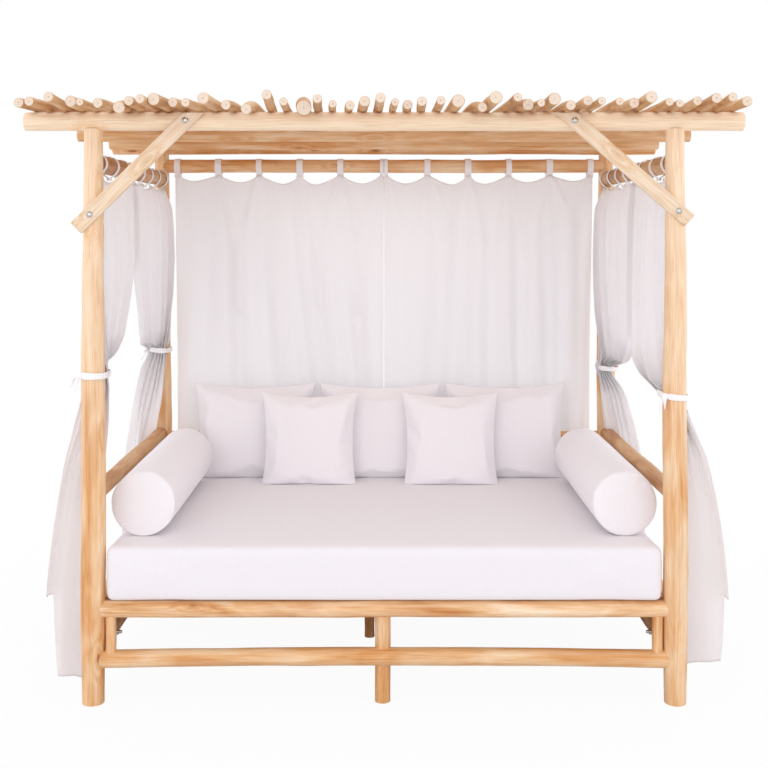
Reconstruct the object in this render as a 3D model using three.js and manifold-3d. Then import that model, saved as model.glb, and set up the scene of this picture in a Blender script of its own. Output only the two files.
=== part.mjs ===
// Outdoor daybed with canopy: a frame of round teak logs, a roof of small sticks laid side by side,
// a mattress with bolsters and cushions, and white curtains that hang from wooden rails.
// Lengths are in millimetres. X runs along the width, the front faces -Y and Z is up. The origin is
// on the ground in the middle of the overall box.

import * as THREE from "three";
import { mergeVertices } from "three/addons/utils/BufferGeometryUtils.js";
import Module from "manifold-3d";

const wasm = await Module();
wasm.setup();

// Fits
const clearance = 0.3; // between pieces that touch
const overrun = 2; // how far a cut or a joined root runs past its face

// Posts
const postSpanWide = 1980; // between post centres, left to right
const postSpanDeep = 1200; // between post centres, front to back
const postFootRadius = 37;
const postBellyRadius = 42;
const postBellyHeight = 400;
const postWaistRadius = 40;
const postWaistHeight = 1100;
const postTopRadius = 31;
const postSaddleRise = 16; // how far the horns of the saddle reach up the beam
const postCoreRadius = 18; // solid core that the tenons leave in a post
const logSides = 12;
const pegSides = 6;
const shortLogRings = 3; // rings of growth along a leg; a long log has more
const longLogRings = 5;

// Round rails between the posts
const seatRailRadius = 29;
const seatRailHeight = 319;
const lowerRailRadius = 30;
const lowerRailHeight = 148;
const lowerRailArch = 9; // the front and rear lower rails rise in the middle
const lowerSideRailRadius = 40;
const lowerSideRailHeight = 182;
const armRailRadius = 30;
const armRailHeight = 705;
const backRailRadius = 26;
const backRailHeight = 687;
const sideCurtainRailRadius = 32;
const sideCurtainRailDrop = 108; // under the underside of the roof beams
const rearCurtainRailRadius = 30;
const rearCurtainRailDrop = 51;
const tenonRadius = 14;
const tenonRoot = 12; // length of tenon that is one with the rail

// Supports under the seat
const stubRadius = 18.5;
const middleLegRadius = 26.5;
const middleLegPlace = -5; // from the middle of the width
const centreLegRadius = 20;
const centreLegPlace = -57;
const centreBeamRadius = 24;
const centreBeamPlace = 28; // behind the middle of the depth
const centreTenonRadius = 11;
const slatCount = 10;
const slatWidth = 100;
const slatThickness = 18;
const battenWidth = 30;
const battenDepth = 26;
const slatRootShare = 0.1; // of a slat's thickness, how deep it is let into the battens

// Roof
const roofSeatHeight = 1944; // underside of the two roof beams
const roofBeamRadius = 32.5;
const frontBeamLength = 2438;
const rearBeamLength = 2410;
const middlePurlinRadius = 27.5;
const middlePurlinLength = 2400;
const rearPurlinRadius = 31;
const rearPurlinLength = 2310;
const rearPurlinPlace = 330; // behind the middle of the depth
const roofDepth = 1680; // between the longest stick ends
const stickSpacing = 52.7;
const stickRadius = 17;
const stickSides = 6;

// Braces and bolts
const braceWidth = 50;
const braceThickness = 22;
const braceHousing = 3; // how deep the brace is let into the post and the beam
const braceDrops = { left: 317, right: 305 }; // from the beam centre down to the lower bolt
const braceReaches = { left: 322, right: 349 }; // from the post centre in to the upper bolt
const braceTails = { left: 66, right: 50 }; // past the lower bolt
const braceTopGap = 7; // under the top of the beam
const boltRadius = 5;
const boltLength = 62;
const domeRadius = 11;
const domeHeight = 6;
const domeSides = 10;
const domeShares = [[0, 0.5], [0.5, 0.85], [1, 1]]; // height from the crown down, and radius
const nutSides = 6;
const railBoltRadius = 6;
const railBoltNutRadius = 10;
const railBoltNutHeight = 9;
const railBoltTail = 10; // thread that stands out past the nut
const railBoltInset = 165; // behind the front posts' line

// Soft goods
const mattressThickness = 186;
const mattressFrontOverhang = 1; // past the front seat rail
const mattressBackGap = 14; // to the back rail
const mattressSideGap = 7; // to the posts
const mattressEdgeRound = 20;
const mattressCornerRound = 24;
const mattressCornerSteps = 3;
const mattressBulge = 3;
const bolsterRadius = 114;
const bolsterLength = 872;
const bolsterSink = 4; // flattening where it rests
const bolsterSides = 14;
const bolsterArmGap = 1.5; // inside the arm rail's line, so that it lifts straight out
const bolsterBackGap = 26; // to the back cushions' line
const backCushionWidthShare = 0.277; // of the post span
const backCushionHeight = 422;
const backCushionThickness = 118;
const frontCushionWidth = 424;
const frontCushionHeight = 398;
const frontCushionThickness = 116;
const frontCushionSpacingShare = 0.3045; // between their middles, of the post span
const cushionOffset = -17; // the cushions sit a little left of the middle
const cushionLean = (13 * Math.PI) / 180;
const cushionSeam = 8; // thickness at the sewn edge
const cushionCells = 7; // faces along a side
const cushionDrawnInShare = 0.045; // of a side, that the sewing pulls in
const cushionCrownPower = 0.6; // lower is fuller towards the seams
const cushionSquareness = 4; // higher keeps the filling flatter
const cushionSink = 10; // flattening where it stands
const cushionGap = 4; // between one cushion and the next
const cushionRowGap = 6; // between the front cushions and the back ones
const cushionRailGap = 5; // to the back rail

// Curtains
const clothThickness = 6;
const loopThickness = 3;
const loopWidth = 24;
const neckThickness = 9; // where a loop is sewn to the cloth
const loopSides = 6;
const rearCurtainSideGap = 60; // from the post's centre to the panel's outer edge
const rearCurtainFold = 11; // half the depth of its folds
const rearCurtainBehind = 17; // hangs behind the back rail
const rearCurtainHem = 42; // above the ground
const rearHeadingFoldShare = 0.7; // of the fold, where the panel hangs from its loops
const rearMiddleFoldShare = 0.9; // and halfway down to the back rail
const rearMiddleBackShare = 0.75; // of the way back to behind the back rail, halfway down
const rearLoopCount = 6;
const sideLoopCount = 4;
const curtainHeading = 9; // from the loops down to the cloth's top edge
const curtainScallop = 34; // how far the top edge hangs between loops
const tieHeights = { left_front: 1114, left_rear: 1082, right_front: 1042, right_rear: 1000 };
const tieBandHeight = 27;
const tieBandThickness = 3;
const bundleWidth = 66;
const bundleDepth = 40;
const bundleFold = 2;
const sideCurtainHem = 60;
// How far the free corner of each side curtain hangs above its post corner
const sideHemRises = { left_front: 290, left_rear: 140, right_front: 265, right_rear: 140 };
const stepsPerFold = 4;
const drapeSwing = 100; // how far the drapes swing out, of which the tables below hold shares
// How much wider than the tables say each drape flares out at its hem
const hemFlareShares = { left_front: 0.15, left_rear: 0, right_front: 0.3, right_rear: 0 };
const sideHeadingFoldShare = 0.1; // half the depth of the folds under the side rail
const sideMeetShares = { front: 0.02, rear: 0.1 }; // of half the depth, where a side's panels meet
const sideReachShare = 0.9; // of half the depth, how far a panel's free edge starts from its post

// How a side curtain hangs above its tie. The height runs from the tie to the rail, and free from the
// post to the free edge. The others are shares of the swing, outwards from the post's line, and layers
// counts thicknesses of cloth.
const drapeAboveTieShares = [
  { height: 0.55, postEdgeOut: 0, freeEdgeOut: -0.08, free: 0.22, fold: 0.13, layers: 1 },
  { height: 0.24, postEdgeOut: 0.08, freeEdgeOut: -0.26, free: 0.5, fold: 0.1, layers: 1.5 },
  { height: 0.1, postEdgeOut: 0.25, freeEdgeOut: -0.32, free: 0.82, fold: 0.05, layers: 3 },
];
// And below its tie. The height runs from the tie to the hem. Out is from the post's outer face, past
// and back are past the corner and back from it along the side.
const drapeBelowTieShares = [
  { height: 0.2, out: 0.44, past: -0.2, freeEdgeOut: -0.5, freeEdgeBack: 1.4, fold: 0.09, layers: 2 },
  { height: 0.36, out: 0.6, past: 0.2, freeEdgeOut: 0.26, freeEdgeBack: 1.6, fold: 0.14, layers: 1.5 },
  { height: 0.6, out: 0.7, past: 0.3, freeEdgeOut: 0.66, freeEdgeBack: 1.9, fold: 0.2, layers: 1.5 },
  { height: 1, out: 0.48, past: 0.2, freeEdgeOut: 0.95, freeEdgeBack: 1.9, fold: 0.18, layers: 1.5 },
];

// Sizes that follow
const halfWide = postSpanWide / 2;
const halfDeep = postSpanDeep / 2;
const railBoltPlace = railBoltInset - halfDeep;
const beamTop = roofSeatHeight + 2 * roofBeamRadius;
const beamHeight = roofSeatHeight + roofBeamRadius;
const sideCurtainRailHeight = roofSeatHeight - sideCurtainRailDrop;
const rearCurtainRailHeight = roofSeatHeight - rearCurtainRailDrop;
const postHeight = roofSeatHeight + postSaddleRise;
const slatTop = seatRailHeight + seatRailRadius + clearance;
const slatBottom = slatTop - slatThickness;
const mattressBottom = slatTop + clearance;
const mattressTop = mattressBottom + mattressThickness;
const mattressHalfWidth = halfWide - postBellyRadius - mattressSideGap;
const mattressFront = -halfDeep - seatRailRadius - mattressFrontOverhang;
const mattressBack = halfDeep - backRailRadius - mattressBackGap;
const softSeat = mattressTop + clearance;
const backCushionWidth = postSpanWide * backCushionWidthShare;
const frontCushionSpacing = postSpanWide * frontCushionSpacingShare;
const rearCurtainWidth = postSpanWide - 2 * rearCurtainSideGap;

// Natural growth of a log: shares of its largest radius, one for each ring along it
const growthShares = [0.97, 1, 0.98, 0.95, 1, 0.97, 0.99];

const up = new THREE.Vector3(0, 1, 0);
const point = (x, y, z) => new THREE.Vector3(x, y, z);

// A closed mesh as a solid that can be joined and cut
function solid(geometry) {
  const bare = geometry.clone();
  bare.deleteAttribute("normal");
  bare.deleteAttribute("uv");
  const merged = mergeVertices(bare.index ? bare : mergeVertices(bare), clearance / 100);
  const corners = merged.index.array;
  const kept = [];
  for (let i = 0; i < corners.length; i += 3) {
    const [a, b, c] = [corners[i], corners[i + 1], corners[i + 2]];
    if (a !== b && b !== c && c !== a) kept.push(a, b, c);
  }
  const mesh = new wasm.Mesh({
    numProp: 3,
    vertProperties: new Float32Array(merged.attributes.position.array),
    triVerts: new Uint32Array(kept),
  });
  return new wasm.Manifold(mesh);
}

// A solid back as a geometry
function geometryOf(manifold) {
  const mesh = manifold.getMesh();
  const geometry = new THREE.BufferGeometry();
  geometry.setAttribute("position", new THREE.BufferAttribute(mesh.vertProperties, 3));
  geometry.setIndex(new THREE.BufferAttribute(mesh.triVerts, 1));
  return geometry;
}

// A round log turned from a profile of [place along it, radius], laid from one point to another
function turned(start, end, profile, { sides = logSides, rise = 0, grow = 0 } = {}) {
  const length = start.distanceTo(end);
  const outline = profile.map(([place, radius]) => new THREE.Vector2(radius + grow, place));
  outline.unshift(new THREE.Vector2(0, profile[0][0]));
  outline.push(new THREE.Vector2(0, profile[profile.length - 1][0]));
  const log = new THREE.LatheGeometry(outline, sides);
  const direction = end.clone().sub(start).normalize();
  log.applyQuaternion(new THREE.Quaternion().setFromUnitVectors(up, direction));
  log.translate(start.x, start.y, start.z);
  const places = log.attributes.position;
  for (let i = 0; i < places.count && rise; i++) {
    const share = point(places.getX(i), places.getY(i), places.getZ(i)).sub(start).dot(direction) / length;
    const bow = Math.sin(Math.PI * THREE.MathUtils.clamp(share, 0, 1));
    places.setZ(i, places.getZ(i) + rise * bow);
  }
  return solid(log);
}

// A log with natural growth: its rings' radii follow the growth shares, begun at a different ring
function log(start, end, radius, { rings = longLogRings, turn = 0, ...rest } = {}) {
  const length = start.distanceTo(end);
  const profile = [];
  for (let ring = 0; ring < rings; ring++) {
    const share = growthShares[(ring + turn) % growthShares.length];
    profile.push([(length * ring) / (rings - 1), radius * share]);
  }
  return turned(start, end, profile, rest);
}

// The radius that natural growth gives a log at a share of its length
function grownRadius(radius, share, { rings = longLogRings, turn = 0 } = {}) {
  const place = share * (rings - 1);
  const ring = Math.min(Math.floor(place), rings - 2);
  const [here, next] = [ring, ring + 1].map((i) => growthShares[(i + turn) % growthShares.length]);
  return radius * THREE.MathUtils.lerp(here, next, place - ring);
}

// A tenon, bolt shank or other small round piece, and the hole for it when it is grown
function peg(start, end, radius, grow = 0, sides = pegSides) {
  const length = start.distanceTo(end);
  return turned(start, end, [[-grow, radius], [length + grow, radius]], { sides, grow });
}

function block(low, high) {
  const size = high.clone().sub(low);
  const box = new THREE.BoxGeometry(size.x, size.y, size.z);
  const middle = low.clone().add(high).divideScalar(2);
  box.translate(middle.x, middle.y, middle.z);
  return solid(box);
}

// Posts
const postProfile = [
  [0, postFootRadius],
  [postBellyHeight, postBellyRadius],
  [postWaistHeight, postWaistRadius],
  [postHeight, postTopRadius],
];

function postRadiusAt(height) {
  let below = postProfile[0];
  for (const above of postProfile) {
    if (above[0] >= height && above[0] > below[0]) {
      const share = (height - below[0]) / (above[0] - below[0]);
      return below[1] + share * (above[1] - below[1]);
    }
    below = above;
  }
  return postTopRadius;
}

function postLog(x, y, grow = 0) {
  return turned(point(x, y, 0), point(x, y, postHeight), postProfile, { grow });
}

const corners = {
  front_left: point(-halfWide, -halfDeep, 0),
  front_right: point(halfWide, -halfDeep, 0),
  rear_left: point(-halfWide, halfDeep, 0),
  rear_right: point(halfWide, halfDeep, 0),
};
const posts = {};
for (const [corner, foot] of Object.entries(corners)) posts[corner] = postLog(foot.x, foot.y);
const pieces = {}; // every finished solid by its name
const curtainRailGrowth = { turn: 1 };
const backRailGrowth = { turn: 3 };
// Thickest in its middle, where the lead loops start, so that they slide out freely
const rearRailGrowth = { turn: 2 };
const carve = (name, cutter) => (pieces[name] = pieces[name].subtract(cutter));

// A log between two post centres, which becomes a rail once its ends are coped
function railLog(from, to, height, radius, options = {}) {
  return log(corners[from].clone().setZ(height), corners[to].clone().setZ(height), radius, options);
}

// A rail between two posts. Its ends are coped to the posts, and to the rails beside it, and carry
// round tenons.
function railBetween(from, to, height, radius, { beside = [], ...options } = {}) {
  const start = corners[from].clone().setZ(height);
  const end = corners[to].clone().setZ(height);
  let rail = railLog(from, to, height, radius, options);
  for (const other of beside) rail = rail.subtract(other);
  for (const [corner, foot] of [[from, start], [to, end]]) {
    const inward = (foot === start ? end.clone().sub(start) : start.clone().sub(end)).normalize();
    const tip = foot.clone().addScaledVector(inward, postCoreRadius);
    const root = foot.clone().addScaledVector(inward, postRadiusAt(height) + tenonRoot);
    rail = rail.subtract(postLog(foot.x, foot.y, clearance));
    rail = largest(rail);
    rail = rail.add(peg(tip, root, tenonRadius));
    posts[corner] = posts[corner].subtract(peg(tip, root, tenonRadius, clearance));
  }
  return rail;
}

// The long rails, and the same logs grown by the clearance, which cut the pieces that meet them
const longRails = {
  seat_rail: [seatRailHeight, seatRailRadius, {}],
  lower_rail: [lowerRailHeight, lowerRailRadius, { rise: lowerRailArch, turn: 1 }],
};
const grownRails = {};
for (const [rail, [height, radius, options]] of Object.entries(longRails)) {
  for (const end of ["front", "rear"]) {
    const ends = [end + "_left", end + "_right"];
    pieces[end + "_" + rail] = railBetween(...ends, height, radius, options);
    grownRails[end + "_" + rail] = railLog(...ends, height, radius, { ...options, grow: clearance });
  }
}
const backRail = ["rear_left", "rear_right", backRailHeight, backRailRadius];
pieces.back_rail = railBetween(...backRail, backRailGrowth);
pieces.rear_curtain_rail = railBetween(
  "rear_left", "rear_right", rearCurtainRailHeight, rearCurtainRailRadius, rearRailGrowth);
for (const side of ["left", "right"]) {
  const ends = ["front_" + side, "rear_" + side];
  const seatEnds = [grownRails.front_seat_rail, grownRails.rear_seat_rail];
  const lowerEnds = [grownRails.front_lower_rail, grownRails.rear_lower_rail];
  const backEnd = railLog(...backRail, { ...backRailGrowth, grow: clearance });
  pieces[side + "_seat_rail"] = railBetween(
    ...ends, seatRailHeight, seatRailRadius, { turn: 1, beside: seatEnds });
  pieces[side + "_lower_rail"] = railBetween(
    ...ends, lowerSideRailHeight, lowerSideRailRadius, { beside: lowerEnds });
  pieces[side + "_arm_rail"] = railBetween(
    ...ends, armRailHeight, armRailRadius, { turn: 2, beside: [backEnd] });
  pieces[side + "_curtain_rail"] = railBetween(
    ...ends, sideCurtainRailHeight, sideCurtainRailRadius, curtainRailGrowth);
}

// Stub uprights beside the front posts, coped between the lower rail and the seat rail
for (const [side, sign] of [["left", -1], ["right", 1]]) {
  const widest = postRadiusAt(seatRailHeight);
  const x = sign * (halfWide - widest - clearance - stubRadius);
  const foot = point(x, -halfDeep, lowerRailHeight);
  const stub = peg(foot, foot.clone().setZ(seatRailHeight), stubRadius, 0, logSides);
  pieces[side + "_stub"] = stub.subtract(grownRails.front_lower_rail).subtract(grownRails.front_seat_rail);
}

// The largest body of a solid that a cut has parted
function largest(parted) {
  return parted.decompose().sort((a, b) => b.volume() - a.volume())[0];
}

// Middle leg, set back from the lower rail and notched round it, and coped under the seat rail
const middleLegLine = -halfDeep + middleLegRadius / 2;
const middleLegHeight = slatBottom - battenDepth - clearance;
const middleLeg = log(point(middleLegPlace, middleLegLine, 0),
  point(middleLegPlace, middleLegLine, middleLegHeight), middleLegRadius, { rings: shortLogRings });
pieces.front_middle_leg = largest(
  middleLeg.subtract(grownRails.front_lower_rail).subtract(grownRails.front_seat_rail));

// Slats on two battens, under the mattress
function slatDeck() {
  const battenFace = halfDeep - seatRailRadius - clearance;
  const half = halfWide - seatRailRadius - slatWidth / 2 - overrun;
  const slatEnd = battenFace - overrun;
  let deck = null;
  for (const sign of [-1, 1]) {
    const inner = sign * (battenFace - battenWidth);
    const low = point(-half - slatWidth / 2, Math.min(sign * battenFace, inner), slatBottom - battenDepth);
    const high = point(half + slatWidth / 2, Math.max(sign * battenFace, inner), slatBottom);
    const batten = block(low, high);
    deck = deck ? deck.add(batten) : batten;
  }
  const rootDepth = slatThickness * slatRootShare;
  for (let i = 0; i < slatCount; i++) {
    const x = -half + (2 * half * i) / (slatCount - 1);
    const low = point(x - slatWidth / 2, -slatEnd, slatBottom - rootDepth);
    deck = deck.add(block(low, point(x + slatWidth / 2, slatEnd, slatTop)));
  }
  return deck;
}
pieces.slat_deck = slatDeck();

// Beam and leg under the middle of the slats
const centreBeamHeight = slatBottom - slatThickness * slatRootShare - clearance - centreBeamRadius;
const beamStart = point(-halfWide, centreBeamPlace, centreBeamHeight);
const beamEnd = point(halfWide, centreBeamPlace, centreBeamHeight);
pieces.centre_beam = log(beamStart, beamEnd, centreBeamRadius, { turn: 2 });
for (const [side, sign] of [["left", -1], ["right", 1]]) {
  const railStart = corners["front_" + side].clone().setZ(seatRailHeight);
  const railEnd = corners["rear_" + side].clone().setZ(seatRailHeight);
  carve("centre_beam", log(railStart, railEnd, seatRailRadius, { turn: 1, grow: clearance }));
  const kept = largest(pieces.centre_beam);
  const tip = point(sign * (halfWide - centreTenonRadius), centreBeamPlace, centreBeamHeight);
  const root = point(sign * (halfWide - seatRailRadius - tenonRoot), centreBeamPlace, centreBeamHeight);
  pieces.centre_beam = kept.add(peg(tip, root, centreTenonRadius));
  carve(side + "_seat_rail", peg(tip, root, centreTenonRadius, clearance));
}
const centreLeg = log(point(centreLegPlace, centreBeamPlace, 0),
  point(centreLegPlace, centreBeamPlace, centreBeamHeight), centreLegRadius, { rings: shortLogRings });
const centreBeamGrown = log(beamStart, beamEnd, centreBeamRadius, { turn: 2, grow: clearance });
pieces.centre_leg = centreLeg.subtract(centreBeamGrown);

// Roof beams in the post saddles, and purlins under the sticks
function roofLog(y, radius, length, turn, grow = 0) {
  const height = beamTop - radius;
  return log(point(-length / 2, y, height), point(length / 2, y, height), radius, { turn, grow });
}
pieces.front_roof_beam = roofLog(-halfDeep, roofBeamRadius, frontBeamLength, 1);
pieces.rear_roof_beam = roofLog(halfDeep, roofBeamRadius, rearBeamLength, 4);
pieces.middle_purlin = roofLog(0, middlePurlinRadius, middlePurlinLength, 1);
pieces.rear_purlin = roofLog(rearPurlinPlace, rearPurlinRadius, rearPurlinLength, 4);
const saddles = {
  front: roofLog(-halfDeep, roofBeamRadius, frontBeamLength, 1, clearance),
  rear: roofLog(halfDeep, roofBeamRadius, rearBeamLength, 4, clearance),
};
for (const corner of Object.keys(posts)) {
  const cut = posts[corner].subtract(saddles[corner.split("_")[0]]);
  posts[corner] = largest(cut);
}

// Braces let into the front of the post and the beam, each held by two dome bolts. A brace is drawn
// from the post centre inwards, with its tail square and its top level under the sticks.
function brace(side, sign) {
  const angle = Math.atan2(braceDrops[side], braceReaches[side]);
  const along = new THREE.Vector2(Math.cos(angle), Math.sin(angle));
  const across = new THREE.Vector2(-along.y, along.x);
  const lower = new THREE.Vector2(0, beamHeight - braceDrops[side]);
  const top = beamTop - braceTopGap;
  const toTop = (start) => start.clone().addScaledVector(along, (top - start.y) / along.y);
  const tail = lower.clone().addScaledVector(along, -braceTails[side]);
  const outer = tail.clone().addScaledVector(across, braceWidth / 2);
  const inner = tail.clone().addScaledVector(across, -braceWidth / 2);
  const outline = [outer, inner, toTop(inner), toTop(outer)];
  const shape = new THREE.Shape(outline.map((p) => new THREE.Vector2(sign * (halfWide - p.x), p.y)));
  const slab = new THREE.ExtrudeGeometry(shape, { depth: braceThickness, bevelEnabled: false });
  slab.rotateX(Math.PI / 2);
  slab.translate(0, -halfDeep - roofBeamRadius + braceHousing, 0);
  return solid(slab);
}

const braceFace = -halfDeep - roofBeamRadius + braceHousing - braceThickness;
const bolts = [];
for (const [side, sign] of [["left", -1], ["right", 1]]) {
  const name = side + "_brace";
  pieces[name] = brace(side, sign);
  const housing = pieces[name].translate([0, clearance, 0]);
  const post = "front_" + side;
  posts[post] = posts[post].subtract(housing);
  carve("front_roof_beam", housing);
  const spots = {
    lower: point(sign * halfWide, braceFace, beamHeight - braceDrops[side]),
    upper: point(sign * (halfWide - braceReaches[side]), braceFace, beamHeight),
  };
  for (const [level, spot] of Object.entries(spots)) {
    const tip = spot.clone().setY(spot.y + boltLength);
    const seat = spot.clone().setY(spot.y - clearance);
    const head = spot.clone().setY(spot.y - clearance - domeHeight);
    const dome = domeShares.map(([drop, radius]) => [domeHeight * drop, domeRadius * radius]);
    const shank = peg(seat, tip, boltRadius);
    const bolt = turned(head, seat, dome, { sides: domeSides }).add(shank);
    bolts.push([side + "_brace_" + level + "_bolt", bolt]);
    const hole = peg(seat, tip, boltRadius, clearance);
    carve(name, hole);
    if (level === "lower") posts[post] = posts[post].subtract(hole);
    else carve("front_roof_beam", hole);
  }
}
for (const [name, bolt] of bolts) pieces[name] = bolt;

// Bolts through the lower side rails, with the nut inside
for (const [side, sign] of [["left", -1], ["right", 1]]) {
  const inner = sign * (halfWide - lowerSideRailRadius - clearance);
  const height = lowerSideRailHeight;
  const tail = point(inner - sign * (railBoltNutHeight + railBoltTail), railBoltPlace, height);
  const nutFace = point(inner - sign * railBoltNutHeight, railBoltPlace, height);
  const seat = point(inner, railBoltPlace, height);
  const buried = point(sign * halfWide, railBoltPlace, height);
  const nutProfile = [[0, railBoltNutRadius], [railBoltNutHeight, railBoltNutRadius]];
  const nut = turned(nutFace, seat, nutProfile, { sides: nutSides });
  pieces[side + "_rail_bolt"] = peg(tail, buried, railBoltRadius).add(nut);
  carve(side + "_lower_rail", peg(tail, buried, railBoltRadius, clearance));
}
for (const [corner, post] of Object.entries(posts)) pieces[corner + "_post"] = post;

// Roof sticks. Shares of the common stick radius, and how far each front tip strays from its place
// and from its level, as shares of the spacing and of the radius.
const stickThicknessShares = [
  0.94, 0.87, 0.94, 1.09, 0.7, 0.96, 1.17, 0.94, 0.87, 1.17, 0.94, 0.81, 1.13, 0.94, 1.04, 0.94,
  0.79, 1.5, 0.87, 0.75, 0.85, 1.04, 0.94, 0.75, 0.9, 0.9, 0.85, 1.23, 0.94, 1.23, 0.85, 1.13,
  0.75, 1.19, 0.94, 0.94, 0.75, 0.75, 1, 1.13, 0.75, 0.75, 0.85, 0.94, 0.85, 0.98,
];
const stickDriftShares = [
  0, -0.02, -0.03, 0.05, -0.03, -0.1, 0.08, -0.22, -0.31, -0.6, -0.61, -0.6, -0.62, -0.3, 0, 0.38,
  0.34, 0.52, 0.43, 0.34, 0.38, 0.3, 0.28, 0.17, -0.05, -0.21, -0.02, 0.08, 0.55, 0.27, 0.66, 0.42,
  0.05, -0.04, 0.04, 0.05, -0.31, -0.1, 0, -0.22, 0.03, -0.22, -0.21, -0.36, -0.19, 0,
];
const stickDroopShares = [
  0.3, 0.4, -0.7, 0, 0.3, 0.4, 1.1, -0.1, -0.2, 0, 0, 0.5, -0.3, 0.6, 1.5, -0.9, 0.1, 1.1, -0.3, 0.5,
  0.7, 0.1, -0.3, 0.2, 0.5, 0.3, -0.2, 0.1, 1.2, 0, -0.8, 0.6, 0.5, -0.1, 0.7, -0.1, 0.2, 0, 0.2, -0.3,
  0, 0.1, -0.2, -0.2, -0.8, -0.1,
];
const stickFrontShares = [0.93, 1, 0.96, 0.9, 0.98, 0.94, 0.91]; // length in front, of half the depth
const stickRearShares = [0.97, 0.92, 0.99, 1, 0.95, 0.9]; // and behind
const stickTaperShare = 0.12; // thinner at the rear
const stickSwellShare = 0.5; // of the taper, by which every other stick is thicker there instead
const stickMiddleTaperShares = [0.4, 0.8]; // of the taper, at a stick's two middle rings
const stickRearDriftShare = 0.4; // of the drift in front, at the rear tips
const stickRearDriftStep = 5; // a rear tip takes the drift of the stick this many places on
const canopyGroups = [11, 12, 12, 11];

function stickRings(index, first, last) {
  const at = (shares, offset = 0) => shares[(index + offset) % shares.length];
  const radius = stickRadius * at(stickThicknessShares);
  const even = (index - (stickThicknessShares.length - 1) / 2) * stickSpacing;
  const drift = stickSpacing * at(stickDriftShares);
  const radiusAt = (share) => radius * (1 - stickTaperShare * share * (index % 2 ? 1 : -stickSwellShare));
  // Where two neighbours lean together, each crosses half the gap between them.
  const partnerReach = (step) => {
    const partner = index + step;
    if (partner < first || partner > last) return 0;
    const other = stickRadius * stickThicknessShares[partner % stickThicknessShares.length];
    const flat = Math.cos(Math.PI / stickSides);
    return step * Math.max(0, (stickSpacing - flat * (radius + other) * (1 - stickTaperShare)) / 2 + overrun);
  };
  const towards = (index - first) % 2 ? -1 : 1;
  const rearPlace = (rearPurlinPlace + halfDeep) / 2;
  const front = -(roofDepth / 2) * at(stickFrontShares);
  const rear = (roofDepth / 2) * at(stickRearShares);
  const droop = radius * at(stickDroopShares);
  const [frontTaper, rearTaper] = stickMiddleTaperShares;
  const rearDrift = stickSpacing * at(stickDriftShares, stickRearDriftStep) * stickRearDriftShare;
  return [
    { y: front, x: even + drift, droop, radius: radiusAt(0) },
    { y: -halfDeep, x: even + drift / 2, droop: 0, radius: radiusAt(0) },
    { y: -halfDeep / 2, x: even + partnerReach(towards), droop: 0, radius: radiusAt(frontTaper) },
    { y: rearPlace, x: even + partnerReach(-towards), droop: 0, radius: radiusAt(rearTaper) },
    { y: rear, x: even + rearDrift, droop: 0, radius: radiusAt(1) },
  ];
}

// The triangles that close a ring. A strip's ring runs along one face and back along the other, so it
// is closed by short quads from face to face, and any other ring is closed as a flat outline.
function capFaces(ring, strip) {
  const count = ring.length;
  if (strip) {
    const faces = [];
    for (let i = 0; i < count / 2 - 1; i++) {
      const [a, b, c, d] = [i, i + 1, count - 2 - i, count - 1 - i];
      faces.push([a, b, c], [a, c, d]);
    }
    return faces;
  }
  const u = ring[Math.floor(count / 4)].clone().sub(ring[0]).normalize();
  const normal = point(0, 0, 0);
  for (let i = 0; i < count; i++) normal.add(ring[i].clone().cross(ring[(i + 1) % count]));
  normal.normalize();
  u.addScaledVector(normal, -u.dot(normal)).normalize();
  const v = normal.clone().cross(u);
  return THREE.ShapeUtils.triangulateShape(ring.map((p) => new THREE.Vector2(p.dot(u), p.dot(v))), []);
}

// A closed loft through rings of the same number of points
function loft(rings, strip = false) {
  const count = rings[0].length;
  const places = rings.flat().flatMap((p) => [p.x, p.y, p.z]);
  const faces = [];
  for (let r = 0; r + 1 < rings.length; r++) {
    for (let i = 0; i < count; i++) {
      const next = (i + 1) % count;
      const [a, b, c, d] = [r * count + i, r * count + next, (r + 1) * count + next, (r + 1) * count + i];
      faces.push([a, b, c], [a, c, d]);
    }
  }
  const last = (rings.length - 1) * count;
  for (const [a, b, c] of capFaces(rings[0], strip)) faces.push([c, b, a]);
  for (const face of capFaces(rings[rings.length - 1], strip)) faces.push(face.map((i) => last + i));
  const geometry = new THREE.BufferGeometry();
  geometry.setAttribute("position", new THREE.Float32BufferAttribute(places, 3));
  geometry.setIndex(faces.flat());
  const made = solid(geometry);
  if (made.volume() > 0) return made;
  geometry.setIndex(faces.flatMap(([a, b, c]) => [a, c, b])); // the rings ran the other way round
  return solid(geometry);
}

function stick(index, first, last) {
  const rings = stickRings(index, first, last).map(({ x, y, droop, radius }) => {
    const ring = [];
    for (let side = 0; side < stickSides; side++) {
      const angle = (2 * Math.PI * side) / stickSides;
      const height = beamTop + clearance + radius - droop - radius * Math.cos(angle);
      ring.push(point(x + radius * Math.sin(angle), y, height));
    }
    return ring;
  });
  return loft(rings);
}

let laid = 0;
canopyGroups.forEach((size, group) => {
  let sticks = null;
  for (let index = laid; index < laid + size; index++) {
    const next = stick(index, laid, laid + size - 1);
    sticks = sticks ? sticks.add(next) : next;
  }
  pieces["canopy_sticks_" + (group + 1)] = sticks;
  laid += size;
});

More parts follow.
